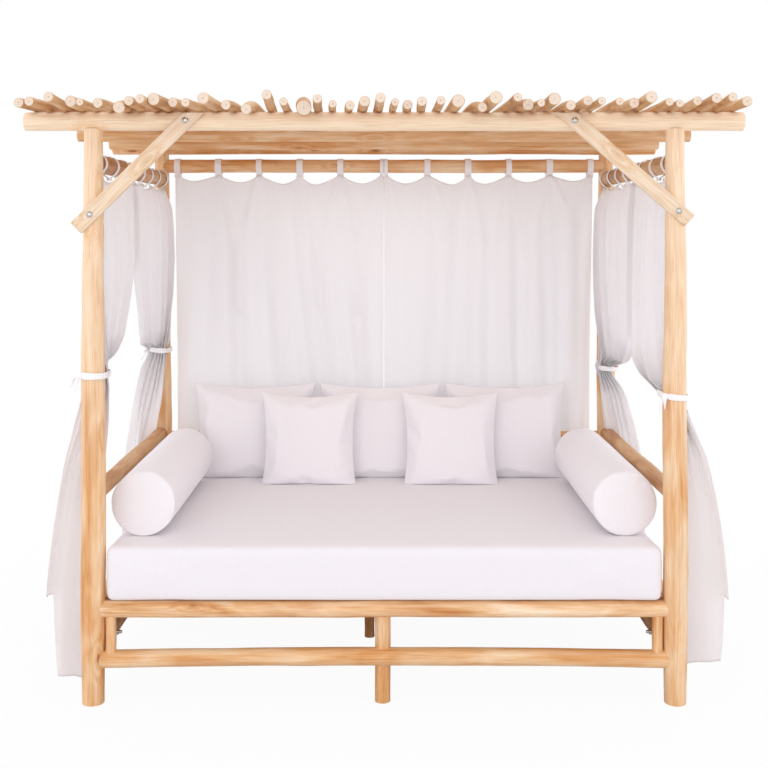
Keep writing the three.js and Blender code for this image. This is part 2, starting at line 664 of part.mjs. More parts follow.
// A loop of cloth round a rail that runs along X or Y
function loop(centre, railRadius, alongX) {
  const inner = railRadius + clearance;
  const outer = inner + loopThickness;
  const disc = new THREE.Shape();
  const hole = new THREE.Path();
  for (let i = 0; i <= loopSides; i++) {
    const angle = (2 * Math.PI * (i + 0.5)) / loopSides - Math.PI / 2; // a flat side hangs lowest
    const clear = inner / Math.cos(Math.PI / loopSides);
    const full = outer / Math.cos(Math.PI / loopSides);
    const draw = i ? "lineTo" : "moveTo";
    disc[draw](full * Math.cos(angle), full * Math.sin(angle));
    hole[draw](clear * Math.cos(angle), clear * Math.sin(angle));
  }
  disc.holes.push(hole);
  const band = new THREE.ExtrudeGeometry(disc, { depth: loopWidth, bevelEnabled: false });
  band.translate(0, 0, -loopWidth / 2);
  if (alongX) band.rotateZ(Math.PI / 2).rotateY(Math.PI / 2);
  else band.rotateX(Math.PI / 2);
  band.translate(centre.x, centre.y, centre.z);
  return solid(band);
}

// One level of a hanging cloth: a folded strip between two points, as a closed outline of even thickness
function clothLevel(from, to, height, { fold, thickness, folds, perFold, lift = () => 0 }) {
  const along = to.clone().sub(from);
  const side = point(-along.y, along.x, 0).normalize();
  const steps = folds * perFold;
  const front = [];
  const back = [];
  for (let i = 0; i <= steps; i++) {
    const share = i / steps;
    const wave = fold * Math.sin(2 * Math.PI * folds * share);
    const middle = from.clone().addScaledVector(along, share).addScaledVector(side, wave);
    middle.setZ(height + lift(share));
    front.push(middle.clone().addScaledVector(side, thickness / 2));
    back.unshift(middle.clone().addScaledVector(side, -thickness / 2));
  }
  return [...front, ...back];
}

// Rear curtains: two panels on loops, hanging behind the back rail. The loop at the middle of the
// back leads each panel along the rail.
const rearHang = halfDeep + Math.max(backRailRadius, lowerRailRadius) + rearCurtainFold + rearCurtainBehind;
for (const [side, sign] of [["left", -1], ["right", 1]]) {
  const width = rearCurtainWidth / 2;
  const lead = sign * clearance;
  const outer = sign * width;
  const top = rearCurtainRailHeight - rearCurtainRailRadius - curtainHeading;
  const drop = top - backRailHeight - curtainScallop;
  const middleLine = halfDeep + (rearHang - halfDeep) * rearMiddleBackShare;
  const waves = { folds: rearLoopCount - 1, perFold: stepsPerFold, thickness: clothThickness };
  const scallop = (share) => -curtainScallop * Math.abs(Math.sin(Math.PI * (rearLoopCount - 1) * share));
  const levels = [
    [top, halfDeep, rearHeadingFoldShare, scallop],
    [top - 2 * curtainScallop, halfDeep, rearHeadingFoldShare, () => 0],
    [top - drop / 2, middleLine, rearMiddleFoldShare, () => 0],
    [backRailHeight, rearHang, 1, () => 0],
    [rearCurtainHem, rearHang, 1, () => 0],
  ];
  const rings = levels.map(([height, y, foldShare, lift]) => {
    const options = { ...waves, fold: rearCurtainFold * foldShare, lift };
    return clothLevel(point(lead, y, 0), point(outer, y, 0), height, options);
  });
  let panel = loft(rings, true);
  const name = "rear_" + side + "_curtain";
  for (let i = 0; i < rearLoopCount; i++) {
    const x = sign * (loopWidth / 2 + clearance + ((width - loopWidth) * i) / (rearLoopCount - 1));
    const centre = point(x, halfDeep, rearCurtainRailHeight);
    const railRadius = grownRadius(rearCurtainRailRadius, x / postSpanWide + 0.5, rearRailGrowth);
    const tab = loop(centre, railRadius, true);
    if (i === 0) {
      pieces[name.replace("curtain", "lead_loop")] = tab;
      continue;
    }
    const low = point(x - loopWidth / 2, halfDeep - neckThickness / 2, top - 2 * curtainHeading);
    const underside = rearCurtainRailHeight - railRadius - clearance - loopThickness / 2;
    const neck = block(low, point(x + loopWidth / 2, halfDeep + neckThickness / 2, underside));
    panel = panel.add(tab).add(neck);
  }
  pieces[name] = panel;
}

// Side curtains: each hangs from the side rail, is drawn in to its post by a tie and flares below.
function sideCurtain(name, side, end) {
  const tie = tieHeights[name];
  const top = sideCurtainRailHeight - sideCurtainRailRadius - curtainHeading;
  const postOuter = halfWide + Math.max(lowerSideRailRadius, postBellyRadius);
  const meet = halfDeep * (end < 0 ? sideMeetShares.front : sideMeetShares.rear);
  const nearPost = halfDeep - postRadiusAt(top) - overrun;
  const bundleLine = halfDeep - postRadiusAt(tie) - clearance - bundleDepth / 2;
  const place = (x, y) => point(side * x, end * y, 0);
  const headingFold = drapeSwing * sideHeadingFoldShare;
  const waves = { folds: sideLoopCount - 1, perFold: stepsPerFold };
  const scallop = (share) => -curtainScallop * Math.abs(Math.sin(Math.PI * (sideLoopCount - 1) * share));
  const above = drapeAboveTieShares.map((share) => {
    const near = place(halfWide + drapeSwing * share.postEdgeOut, bundleLine);
    const reach = halfDeep * sideReachShare * share.free;
    const free = place(halfWide + drapeSwing * share.freeEdgeOut, reach);
    const height = tie + (top - tie) * share.height;
    return [height, near, free, drapeSwing * share.fold, clothThickness * share.layers];
  });
  const below = drapeBelowTieShares.map((share) => {
    const height = tie - (tie - sideCurtainHem) * share.height;
    const flare = drapeSwing * (1 + hemFlareShares[name] * share.height ** 2);
    const near = place(postOuter + flare * share.out, halfDeep + drapeSwing * share.past);
    const back = halfDeep - drapeSwing * share.freeEdgeBack;
    const free = place(postOuter + flare * share.freeEdgeOut, back);
    return [height, near, free, drapeSwing * share.fold, clothThickness * share.layers];
  });
  const bundleEnds = [bundleWidth / 2, -bundleWidth / 2].map((out) => place(halfWide + out, bundleLine));
  const bundle = [...bundleEnds, bundleFold, bundleDepth - 3 * bundleFold];
  const hem = below.pop();
  const hemLift = (share) => sideHemRises[name] * share;
  const levels = [
    [top, place(halfWide, nearPost), place(halfWide, meet), headingFold, clothThickness, scallop],
    ...above,
    [tie + tieBandHeight, ...bundle],
    [tie - tieBandHeight, ...bundle],
    ...below,
    [...hem, hemLift],
  ];
  const rings = levels.map(([height, from, to, fold, thickness, lift = () => 0]) =>
    clothLevel(from, to, height, { ...waves, fold, thickness, lift }));
  let panel = loft(rings, true);
  for (let i = 0; i < sideLoopCount; i++) {
    const inset = loopWidth / 2 + overrun;
    const near = nearPost - inset;
    const y = near + ((meet + inset - near) * i) / (sideLoopCount - 1);
    const centre = place(halfWide, y).setZ(sideCurtainRailHeight);
    const railRadius = grownRadius(sideCurtainRailRadius, centre.y / postSpanDeep + 0.5, curtainRailGrowth);
    const tab = loop(centre, railRadius, false);
    const neckFoot = top - 2 * curtainHeading;
    const low = point(centre.x - neckThickness / 2, centre.y - loopWidth / 2, neckFoot);
    const underside = sideCurtainRailHeight - railRadius - clearance - loopThickness / 2;
    const neck = block(low, point(centre.x + neckThickness / 2, centre.y + loopWidth / 2, underside));
    panel = panel.add(tab).add(neck);
  }
  return panel;
}

// The tie band goes round the post and the bundle of cloth behind it
function tieBand(name, side, end) {
  const height = tieHeights[name];
  const postRadius = postRadiusAt(height - tieBandHeight / 2) + clearance;
  const bundle = bundleDepth + postRadius / 2;
  const inner = postRadius / Math.cos(Math.PI / (2 * logSides));
  const path = (radius) => {
    const points = [];
    for (let i = 0; i <= logSides; i++) {
      const angle = Math.PI * (i / logSides);
      points.push(new THREE.Vector2(radius * Math.cos(angle), radius * Math.sin(angle)));
    }
    for (let i = 0; i <= logSides; i++) {
      const angle = Math.PI * (1 + i / logSides);
      points.push(new THREE.Vector2(radius * Math.cos(angle), radius * Math.sin(angle) - bundle));
    }
    return points;
  };
  const shape = new THREE.Shape(path(inner + tieBandThickness));
  shape.holes.push(new THREE.Path(path(inner)));
  const band = new THREE.ExtrudeGeometry(shape, { depth: tieBandHeight, bevelEnabled: false });
  if (end < 0) band.rotateZ(Math.PI);
  band.translate(side * halfWide, end * halfDeep, height - tieBandHeight / 2);
  return solid(band);
}

for (const [sideName, side] of [["left", -1], ["right", 1]]) {
  for (const [endName, end] of [["front", -1], ["rear", 1]]) {
    const name = sideName + "_" + endName;
    pieces[name + "_curtain"] = sideCurtain(name, side, end);
    pieces[name + "_tie"] = tieBand(name, side, end);
  }
}

// Mattress: a rounded slab whose sides belly out a little between the top and bottom seams
function mattress() {
  const middle = (mattressFront + mattressBack) / 2;
  const halfLength = (mattressBack - mattressFront) / 2;
  const levelShares = [[0, 1], [0.03, 0.35], [0.1, 0], [0.5, -0.15], [0.9, 0], [0.97, 0.35], [1, 1]];
  const rings = levelShares.map(([heightShare, insetShare]) => {
    const inset = mattressEdgeRound * insetShare;
    const bulge = insetShare < 0 ? 0 : mattressBulge;
    const halfX = mattressHalfWidth - inset - bulge;
    const halfY = halfLength - inset - bulge;
    const round = mattressCornerRound - inset;
    const ring = [];
    const turns = [[1, 1], [-1, 1], [-1, -1], [1, -1]];
    turns.forEach(([sx, sy], quarter) => {
      for (let i = 0; i <= mattressCornerSteps; i++) {
        const angle = (Math.PI / 2) * (quarter + i / mattressCornerSteps);
        const x = sx * (halfX - round) + round * Math.cos(angle);
        const y = middle + sy * (halfY - round) + round * Math.sin(angle);
        ring.push(point(x, y, mattressBottom + mattressThickness * heightShare));
      }
    });
    return ring;
  });
  return loft(rings);
}
pieces.mattress = mattress();

// A soft piece is flattened where it stands on the mattress.
function settle(geometry) {
  const places = geometry.attributes.position;
  for (let i = 0; i < places.count; i++) places.setZ(i, Math.max(places.getZ(i), softSeat));
  return solid(geometry);
}

// Square cushion: crowned both ways, with sides drawn in between pointed corners
function cushionGeometry(width, height, thickness) {
  const cells = cushionCells;
  const places = [];
  const faces = [];
  const number = new Map();
  const vertex = (column, row, face) => {
    const u = (2 * column) / cells - 1;
    const v = (2 * row) / cells - 1;
    const rim = Math.abs(u) === 1 || Math.abs(v) === 1;
    const key = [column, row, face].join();
    if (number.has(key)) return number.get(key);
    const x = (width / 2) * u * (1 - cushionDrawnInShare * (1 - v * v));
    const y = (height / 2) * v * (1 - cushionDrawnInShare * (1 - u * u));
    const fall = (place) => 1 - Math.abs(place) ** cushionSquareness;
    const crown = Math.pow(fall(u) * fall(v), cushionCrownPower);
    const half = rim ? cushionSeam / 2 : cushionSeam / 2 + ((thickness - cushionSeam) / 2) * crown;
    places.push(x, y, face * half);
    number.set(key, places.length / 3 - 1);
    return places.length / 3 - 1;
  };
  const quad = (a, b, c, d) => faces.push(a, b, c, a, c, d);
  for (let column = 0; column < cells; column++) {
    for (let row = 0; row < cells; row++) {
      const grid = [[column, row], [column + 1, row], [column + 1, row + 1], [column, row + 1]];
      quad(...grid.map(([c, r]) => vertex(c, r, 1)));
      quad(...grid.reverse().map(([c, r]) => vertex(c, r, -1)));
    }
  }
  for (let i = 0; i < cells; i++) {
    const rims = [[i, 0, i + 1, 0], [cells, i, cells, i + 1], [i + 1, cells, i, cells], [0, i + 1, 0, i]];
    for (const [c0, r0, c1, r1] of rims) {
      quad(vertex(c0, r0, -1), vertex(c1, r1, -1), vertex(c1, r1, 1), vertex(c0, r0, 1));
    }
  }
  const geometry = new THREE.BufferGeometry();
  geometry.setAttribute("position", new THREE.Float32BufferAttribute(places, 3));
  geometry.setIndex(faces);
  return geometry;
}

// A cushion that stands on the mattress and leans back
function leaningCushion(width, height, thickness, x, baseLine) {
  const geometry = cushionGeometry(width, height, thickness);
  geometry.rotateX(Math.PI / 2 - cushionLean);
  const rise = (height / 2) * Math.cos(cushionLean);
  const back = (height / 2) * Math.sin(cushionLean);
  geometry.translate(x, baseLine + back, softSeat + rise - cushionSink);
  return settle(geometry);
}

// The back cushions lean on the back rail, the front ones stand close before them.
const backRailFace = halfDeep - backRailRadius - cushionRailGap;
const contactHeight = backRailHeight - mattressTop;
const backBase = backRailFace - contactHeight * Math.tan(cushionLean)
  - backCushionThickness / 2 / Math.cos(cushionLean);
const rowDistance = (backCushionThickness + frontCushionThickness) / 2 + cushionRowGap;
const frontBase = backBase - rowDistance / Math.cos(cushionLean);
[["left", -1], ["middle", 0], ["right", 1]].forEach(([side, sign]) => {
  const x = cushionOffset + sign * (backCushionWidth + cushionGap);
  pieces[side + "_back_cushion"] = leaningCushion(
    backCushionWidth, backCushionHeight, backCushionThickness, x, backBase);
});
for (const [side, sign] of [["left", -1], ["right", 1]]) {
  pieces[side + "_front_cushion"] = leaningCushion(
    frontCushionWidth, frontCushionHeight, frontCushionThickness,
    cushionOffset + (sign * frontCushionSpacing) / 2, frontBase);
}

// Bolsters: round rolls with softly crowned ends, beside the arm rails
for (const [side, sign] of [["left", -1], ["right", 1]]) {
  const height = softSeat + bolsterRadius - bolsterSink;
  const x = sign * (halfWide - armRailRadius - bolsterArmGap - bolsterRadius);
  const rear = backBase - backCushionThickness / 2 - bolsterBackGap;
  const start = point(x, rear - bolsterLength, height);
  const endShares = [[0, 0.72], [0.02, 0.92], [0.06, 0.98], [0.2, 1]]; // place and radius at an end
  const profile = endShares.map(([place, radius]) => [place * bolsterRadius, radius * bolsterRadius]);
  profile.push([bolsterLength / 2, bolsterRadius]);
  for (const [place, radius] of [...endShares].reverse()) {
    profile.push([bolsterLength - place * bolsterRadius, radius * bolsterRadius]);
  }
  const roll = turned(start, start.clone().setY(rear), profile, { sides: bolsterSides });
  pieces[side + "_bolster"] = settle(geometryOf(roll));
}

// Materials
const teak = new THREE.MeshStandardMaterial({ color: "#e6bd8a", roughness: 0.6, metalness: 0 });
const paleTeak = new THREE.MeshStandardMaterial({ color: "#ecd9bd", roughness: 0.7, metalness: 0 });
const cushionCloth = new THREE.MeshStandardMaterial({ color: "#f4f0f1", roughness: 0.9, metalness: 0 });
const curtainCloth = new THREE.MeshStandardMaterial({ color: "#ece7e6", roughness: 0.9, metalness: 0 });
const steel = new THREE.MeshStandardMaterial({ color: "#c8c8c6", roughness: 0.3, metalness: 1 });

function materialOf(name) {
  if (/curtain$|loop|tie/.test(name)) return curtainCloth;
  if (/mattress|bolster|cushion/.test(name)) return cushionCloth;
  if (/bolt/.test(name)) return steel;
  return /canopy/.test(name) ? paleTeak : teak;
}

const daybed = new THREE.Group();
for (const [name, piece] of Object.entries(pieces)) {
  const mesh = new THREE.Mesh(geometryOf(piece), materialOf(name));
  mesh.name = name;
  daybed.add(mesh);
}

export default daybed;
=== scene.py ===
# %% [markdown]
# # An outdoor daybed with a canopy
# The real daybed is a frame of peeled teak branches, a roof of small sticks, white cotton curtains,
# and a mattress with bolsters and cushions. The mechanical model comes first, as a fixed frame in
# metres. Each step below dresses one part of it, and every finished piece rides on a body of the frame.

import math

import bmesh
import bpy
import numpy as np
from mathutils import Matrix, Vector, noise


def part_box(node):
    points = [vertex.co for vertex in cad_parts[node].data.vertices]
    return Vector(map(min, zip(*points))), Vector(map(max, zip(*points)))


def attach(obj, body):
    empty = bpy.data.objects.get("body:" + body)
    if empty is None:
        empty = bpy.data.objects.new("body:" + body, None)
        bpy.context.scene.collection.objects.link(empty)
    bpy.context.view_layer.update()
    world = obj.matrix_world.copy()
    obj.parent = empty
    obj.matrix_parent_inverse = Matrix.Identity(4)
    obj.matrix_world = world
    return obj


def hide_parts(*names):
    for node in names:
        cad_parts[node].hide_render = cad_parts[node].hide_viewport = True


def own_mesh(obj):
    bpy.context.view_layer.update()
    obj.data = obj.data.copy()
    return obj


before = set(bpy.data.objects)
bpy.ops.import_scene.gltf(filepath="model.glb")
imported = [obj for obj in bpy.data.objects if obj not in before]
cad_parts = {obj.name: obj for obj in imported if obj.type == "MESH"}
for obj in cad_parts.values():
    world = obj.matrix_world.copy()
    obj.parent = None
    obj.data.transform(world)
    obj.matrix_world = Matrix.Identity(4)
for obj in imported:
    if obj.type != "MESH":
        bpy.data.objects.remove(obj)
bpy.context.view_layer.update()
scene = bpy.context.scene

# %% [markdown]
# ## Camera
# The photograph is taken from a standing height with the lens level, so that the posts stay upright,
# and the frame is shifted down to hold the whole daybed. The same lens, height and shift give the same
# picture here. The front posts stand 1.98 m apart and fill a known share of the picture's width, which
# gives the distance.

# %% Camera
PICTURE = 768  # the picture's width and height in pixels
EYE = Vector((-0.004, -4.457, 1.604))
LENS_PIXELS = 1133
HORIZON_ROW = 231
CENTRE_COLUMN = 383
SENSOR = 36.0

camera_data = bpy.data.cameras.new("eye")
camera_data.sensor_width = SENSOR
camera_data.lens = LENS_PIXELS / PICTURE * SENSOR
camera_data.shift_y = (HORIZON_ROW - PICTURE / 2) / PICTURE
camera_data.shift_x = (PICTURE / 2 - CENTRE_COLUMN) / PICTURE
camera = bpy.data.objects.new("eye", camera_data)
camera.location = EYE
camera.rotation_euler = (math.pi / 2, 0, 0)
scene.collection.objects.link(camera)
scene.camera = camera
print("lens", round(camera_data.lens, 1), "mm, shift", round(camera_data.shift_y, 3))

# %% [markdown]
# ## Helpers
# Colours are written as the eye sees them, as sRGB hex, while a shader works in linear light, so one
# function converts them. Another adds a node with its settings and its links in one line, and a few
# stand for the nodes that come often. The rest turn points into objects and fix these to the frame.

# %% Helpers for nodes, meshes and the frame
def linear(hex_colour):
    """An sRGB hex colour as linear RGBA."""
    channels = [int(hex_colour[i : i + 2], 16) / 255 for i in (1, 3, 5)]
    return (*[c / 12.92 if c <= 0.04045 else ((c + 0.055) / 1.055) ** 2.4 for c in channels], 1.0)


def connect(tree, node, inputs):
    """Sets inputs, given by a socket's name or number, to a value or an output to link."""
    for key, value in dict(inputs).items():
        socket = node.inputs[key]
        if isinstance(value, bpy.types.NodeSocket):
            tree.links.new(value, socket)
        else:
            socket.default_value = value


def add(tree, kind, inputs=(), **settings):
    """Adds a node with its settings and its inputs."""
    node = tree.nodes.new(kind)
    for name, value in settings.items():
        setattr(node, name, value)
    connect(tree, node, inputs)
    return node


def maths(tree, operation, *values):
    return add(tree, "ShaderNodeMath", enumerate(values), operation=operation).outputs[0]


def vectors(tree, operation, *values):
    return add(tree, "ShaderNodeVectorMath", enumerate(values), operation=operation).outputs[0]


def scaled_by(tree, vector, factor):
    return add(tree, "ShaderNodeVectorMath", {0: vector, 3: factor}, operation="SCALE").outputs[0]


def length_of(tree, vector):
    return add(tree, "ShaderNodeVectorMath", {0: vector}, operation="LENGTH").outputs["Value"]


def noise_in(tree, place, scale, detail=2.0, distortion=0.0):
    inputs = {"Vector": place, "Scale": scale, "Detail": detail, "Distortion": distortion}
    return add(tree, "ShaderNodeTexNoise", inputs).outputs["Fac"]


def ranged(tree, value, low=0.0, high=1.0, start=0.0, end=1.0):
    """A value's place between low and high, as a number from start to end."""
    inputs = {"Value": value, 1: low, 2: high, 3: start, 4: end}
    return add(tree, "ShaderNodeMapRange", inputs).outputs["Result"]


def bump(tree, height, distance, strength, under=None):
    """The normal of a bump, on top of another one if that is given."""
    inputs = {"Height": height, "Distance": distance, "Strength": strength}
    if under is not None:
        inputs["Normal"] = under
    return add(tree, "ShaderNodeBump", inputs).outputs[0]


def linked(name, mesh, material=None):
    """A new object in the scene that holds a mesh."""
    if material:
        mesh.materials.append(material)
    piece = bpy.data.objects.new(name, mesh)
    scene.collection.objects.link(piece)
    return piece


def mesh_of(form, name, smooth=False, outward=False):
    """A mesh from a bmesh, which is freed."""
    if outward:
        bmesh.ops.recalc_face_normals(form, faces=form.faces)
    mesh = bpy.data.meshes.new(name)
    form.to_mesh(mesh)
    form.free()
    if smooth:
        mesh.shade_smooth()
    return mesh


def join_rings(form, rings, closed=False):
    """Quads between rings of points. A closed row of rings meets itself, and an open one gets end faces."""
    for lower, upper in zip(rings, rings[1:] + rings[:1] if closed else rings[1:]):
        for i in range(len(lower)):
            j = (i + 1) % len(lower)
            form.faces.new((lower[i], lower[j], upper[j], upper[i]))
    if not closed:
        form.faces.new(reversed(rings[0]))
        form.faces.new(rings[-1])


def set_grain(mesh, vectors):
    mesh.attributes.new("grain", "FLOAT_VECTOR", "POINT").data.foreach_set("vector", np.ravel(vectors))


def settle(piece, slot, *nodes, body="root"):
    """The finished piece stands for its CAD nodes and rides on a body. The slot is not used."""
    if nodes:
        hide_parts(*nodes)
    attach(piece, body)
    return piece


print("honey teak in linear light:", [round(c, 3) for c in linear("#f0c896")])

# %% [markdown]
# ## Peeled teak
# The logs are young teak branches, peeled and sanded. The wood is a pale honey with cream and darker
# streaks along the branch, orange patches where the heartwood shows, and brown knots that bend the
# grain round them. The pattern reads an attribute called grain, which holds a point's place in its own
# log: across, across and along in metres. Noise that is stretched along the third axis then follows
# each log wherever it points, and the sawn ends cut through the same pattern.

# %% Teak bark side
def ramp(tree, factor, stops):
    """A colour ramp whose stops are (place, hex colour)."""
    node = add(tree, "ShaderNodeValToRGB", {"Fac": factor})
    elements = node.color_ramp.elements
    for _ in range(len(stops) - 2):
        elements.new(0.5)
    for element, (place, colour) in zip(elements, stops):
        element.position = place
        element.color = linear(colour)
    return node.outputs["Color"]


def stretched(tree, source, across, along, detail=3.0, distortion=0.0):
    """Noise with so many spots per metre across the log and along it."""
    return noise_in(tree, vectors(tree, "MULTIPLY", source, (across, across, along)), 1.0, detail, distortion)


def mixed(tree, factor, a, b, blend="MIX"):
    inputs = {0: factor, 6: a, 7: b}
    return add(tree, "ShaderNodeMix", inputs, data_type="RGBA", blend_type=blend).outputs[2]


def new_material(name):
    material = bpy.data.materials.new(name)
    material.use_nodes = True
    tree = material.node_tree
    return material, tree, tree.nodes["Principled BSDF"]


def peeled_teak(name, honey, patch, cream, streak, knot="#a8703a", roughness=0.5, painted_top_light=0.0):
    """Peeled teak branch, sanded and left bare: satin, streaked along the grain, with brown knots."""
    material, tree, shader = new_material(name)
    grain = add(tree, "ShaderNodeAttribute", attribute_name="grain").outputs["Vector"]
    # Knots lie some 30 cm apart. The nearer a point is to one, the more the grain swings round it.
    knot_space = vectors(tree, "MULTIPLY", grain, (10, 10, 3.4))
    knots = add(tree, "ShaderNodeTexVoronoi", {"Vector": knot_space, "Scale": 1.0})
    nearness = ranged(tree, knots.outputs["Distance"], 0.32, 0.05)
    swing = maths(tree, "MULTIPLY", nearness, 0.016)
    swung = vectors(tree, "ADD", grain, swing)
    broad = stretched(tree, grain, 13, 3.2, 3.0, 0.8)
    bands = stretched(tree, swung, 60, 2.2, 3.0, 0.3)
    fibres = stretched(tree, swung, 420, 9, 4.0)
    base = ramp(tree, broad, ((0.34, cream), (0.47, honey), (0.62, patch)))
    banded = ramp(tree, bands, ((0.35, cream), (0.52, honey), (0.64, streak), (0.72, honey)))
    wood = mixed(tree, 0.36, base, banded)
    # Painted light: from 0.7 m to 1.8 m up, the wood is mixed more and more towards a pale cream, so that the
    # upper parts look more brightly lit.
    place = add(tree, "ShaderNodeTexCoord").outputs["Object"]
    height = add(tree, "ShaderNodeSeparateXYZ", {0: place}).outputs["Z"]
    painted_top_light_share = ranged(tree, height, 0.7, 1.8, end=painted_top_light)
    wood = mixed(tree, painted_top_light_share, wood, linear("#ffecd0"))
    dark_fibre = ramp(tree, fibres, ((0.3, "#d9c3a6"), (0.55, "#ffffff")))
    wood = mixed(tree, 0.55, wood, dark_fibre, "MULTIPLY")
    ring = ramp(tree, nearness, ((0.0, "#ffffff"), (0.35, "#f3dcbd"), (0.55, "#ffffff"), (0.8, "#e8c69a")))
    wood = mixed(tree, 0.6, wood, ring, "MULTIPLY")
    heart = ranged(tree, nearness, 0.88, 0.98)
    wood = mixed(tree, heart, wood, linear(knot))
    relief = bump(tree, fibres, 0.0003, 0.5, bump(tree, bands, 0.0012, 0.5))
    connect(tree, shader, {"Base Color": wood, "Roughness": roughness, "IOR": 1.5, "Normal": relief})
    return material


# Most logs are honey teak. The beam and posts in front get painted light: their wood turns paler towards
# the top. The rails beside and under the seat and the curtain rails get painted shade: darker copies of
# the same teak, darkest low down.
log_wood = peeled_teak("peeled_teak_log", "#ecbe8b", "#d9964f", "#f5dab6", "#cb8b48")
painted_top_light_wood = peeled_teak("teak_log_with_painted_top_light", "#ecbe8b", "#d9964f", "#f5dab6", "#cb8b48", painted_top_light=0.72)
beam_wood = peeled_teak("teak_beam_with_painted_top_light", "#ecbe8b", "#dda05a", "#f5dab6", "#cf9352", painted_top_light=0.88)
streaked_wood = peeled_teak("streaked_teak_log", "#eec08c", "#cb833c", "#fbe4c6", "#b06c2e")
painted_shade_wood = peeled_teak("teak_log_with_painted_shade", "#d29f6b", "#b0713a", "#dfba8b", "#a86c34")
painted_deep_shade_wood = peeled_teak("teak_log_with_painted_deep_shade", "#b67f4c", "#935f32", "#c99a66", "#8c5a2d")
stick_wood = peeled_teak("peeled_teak_stick", "#d9ab77", "#b57f49", "#e8c9a1", "#a06f3f", roughness=0.6)
woods = (log_wood, painted_top_light_wood, beam_wood, streaked_wood, painted_shade_wood, painted_deep_shade_wood, stick_wood)
print("teak:", *(wood.name for wood in woods))

# %% [markdown]
# A sawn end shows the branch's rings: pale cream wood with thin tan rings, a small dark pith, and a
# few checks that run out from it. The rings are the distance from the log's own axis, which the grain
# attribute's first two numbers give.

# %% Sawn ends
def sawn_end(name, cream, ring, pith):
    """Sawn teak end grain: matt, cream, with growth rings about 2 mm wide."""
    material, tree, shader = new_material(name)
    grain = add(tree, "ShaderNodeAttribute", attribute_name="grain").outputs["Vector"]
    across = vectors(tree, "MULTIPLY", grain, (1, 1, 0))
    wander = noise_in(tree, grain, 90.0)
    radius = length_of(tree, across)
    uneven = maths(tree, "MULTIPLY_ADD", wander, 0.004, radius)
    turns = maths(tree, "MULTIPLY", uneven, 2 * math.pi / 0.0026)
    wave = maths(tree, "SINE", turns)
    rings = ramp(tree, wave, ((0.0, cream), (0.9, ring)))
    core = ranged(tree, uneven, 0.0052, 0.0034)
    checks = noise_in(tree, grain, 320.0, 3.0)
    speckle = ramp(tree, checks, ((0.3, "#d8c6b2"), (0.5, "#ffffff")))
    colour = mixed(tree, 0.5, mixed(tree, core, rings, linear(pith)), speckle, "MULTIPLY")
    relief = bump(tree, checks, 0.0005, 0.6)
    connect(tree, shader, {"Base Color": colour, "Roughness": 0.8, "Normal": relief})
    return material


end_wood = sawn_end("sawn_teak_end", "#f0e2d2", "#e2ccb2", "#c8a684")
print("sawn ends:", end_wood.name)

# %% [markdown]
# ## Logs by Geometry Nodes
# Every log is the same kind of thing: a line with a thickness that changes along it. So one tree grows
# them all. It smooths the line, lets it wander a little as a branch does, sweeps a circle along it,
# raises shallow lumps and hollows on the bark side, and rounds the sawn rims. It also stores the grain
# attribute that the materials read.

# %% The branch tree
def geometry_tree(name, inputs, output):
    """A tree with its inputs, as (label, kind, default), and its output. Returns it and the given values."""
    tree = bpy.data.node_groups.new(name, "GeometryNodeTree")
    for label, kind, *default in inputs:
        socket = tree.interface.new_socket(label, in_out="INPUT", socket_type="NodeSocket" + kind)
        if default:
            socket.default_value = default[0]
    tree.interface.new_socket(output, in_out="OUTPUT", socket_type="NodeSocketGeometry")
    return tree, add(tree, "NodeGroupInput").outputs


def geometry(tree, kind, inputs=(), **settings):
    return add(tree, "GeometryNode" + kind, inputs, **settings).outputs[0]


def named(tree, name, data_type="FLOAT"):
    node = add(tree, "GeometryNodeInputNamedAttribute", {"Name": name}, data_type=data_type)
    return node.outputs["Attribute"]


def stored(tree, target, name, value, data_type="FLOAT"):
    inputs = {"Geometry": target, "Name": name, "Value": value}
    return geometry(tree, "StoreNamedAttribute", inputs, data_type=data_type, domain="POINT")


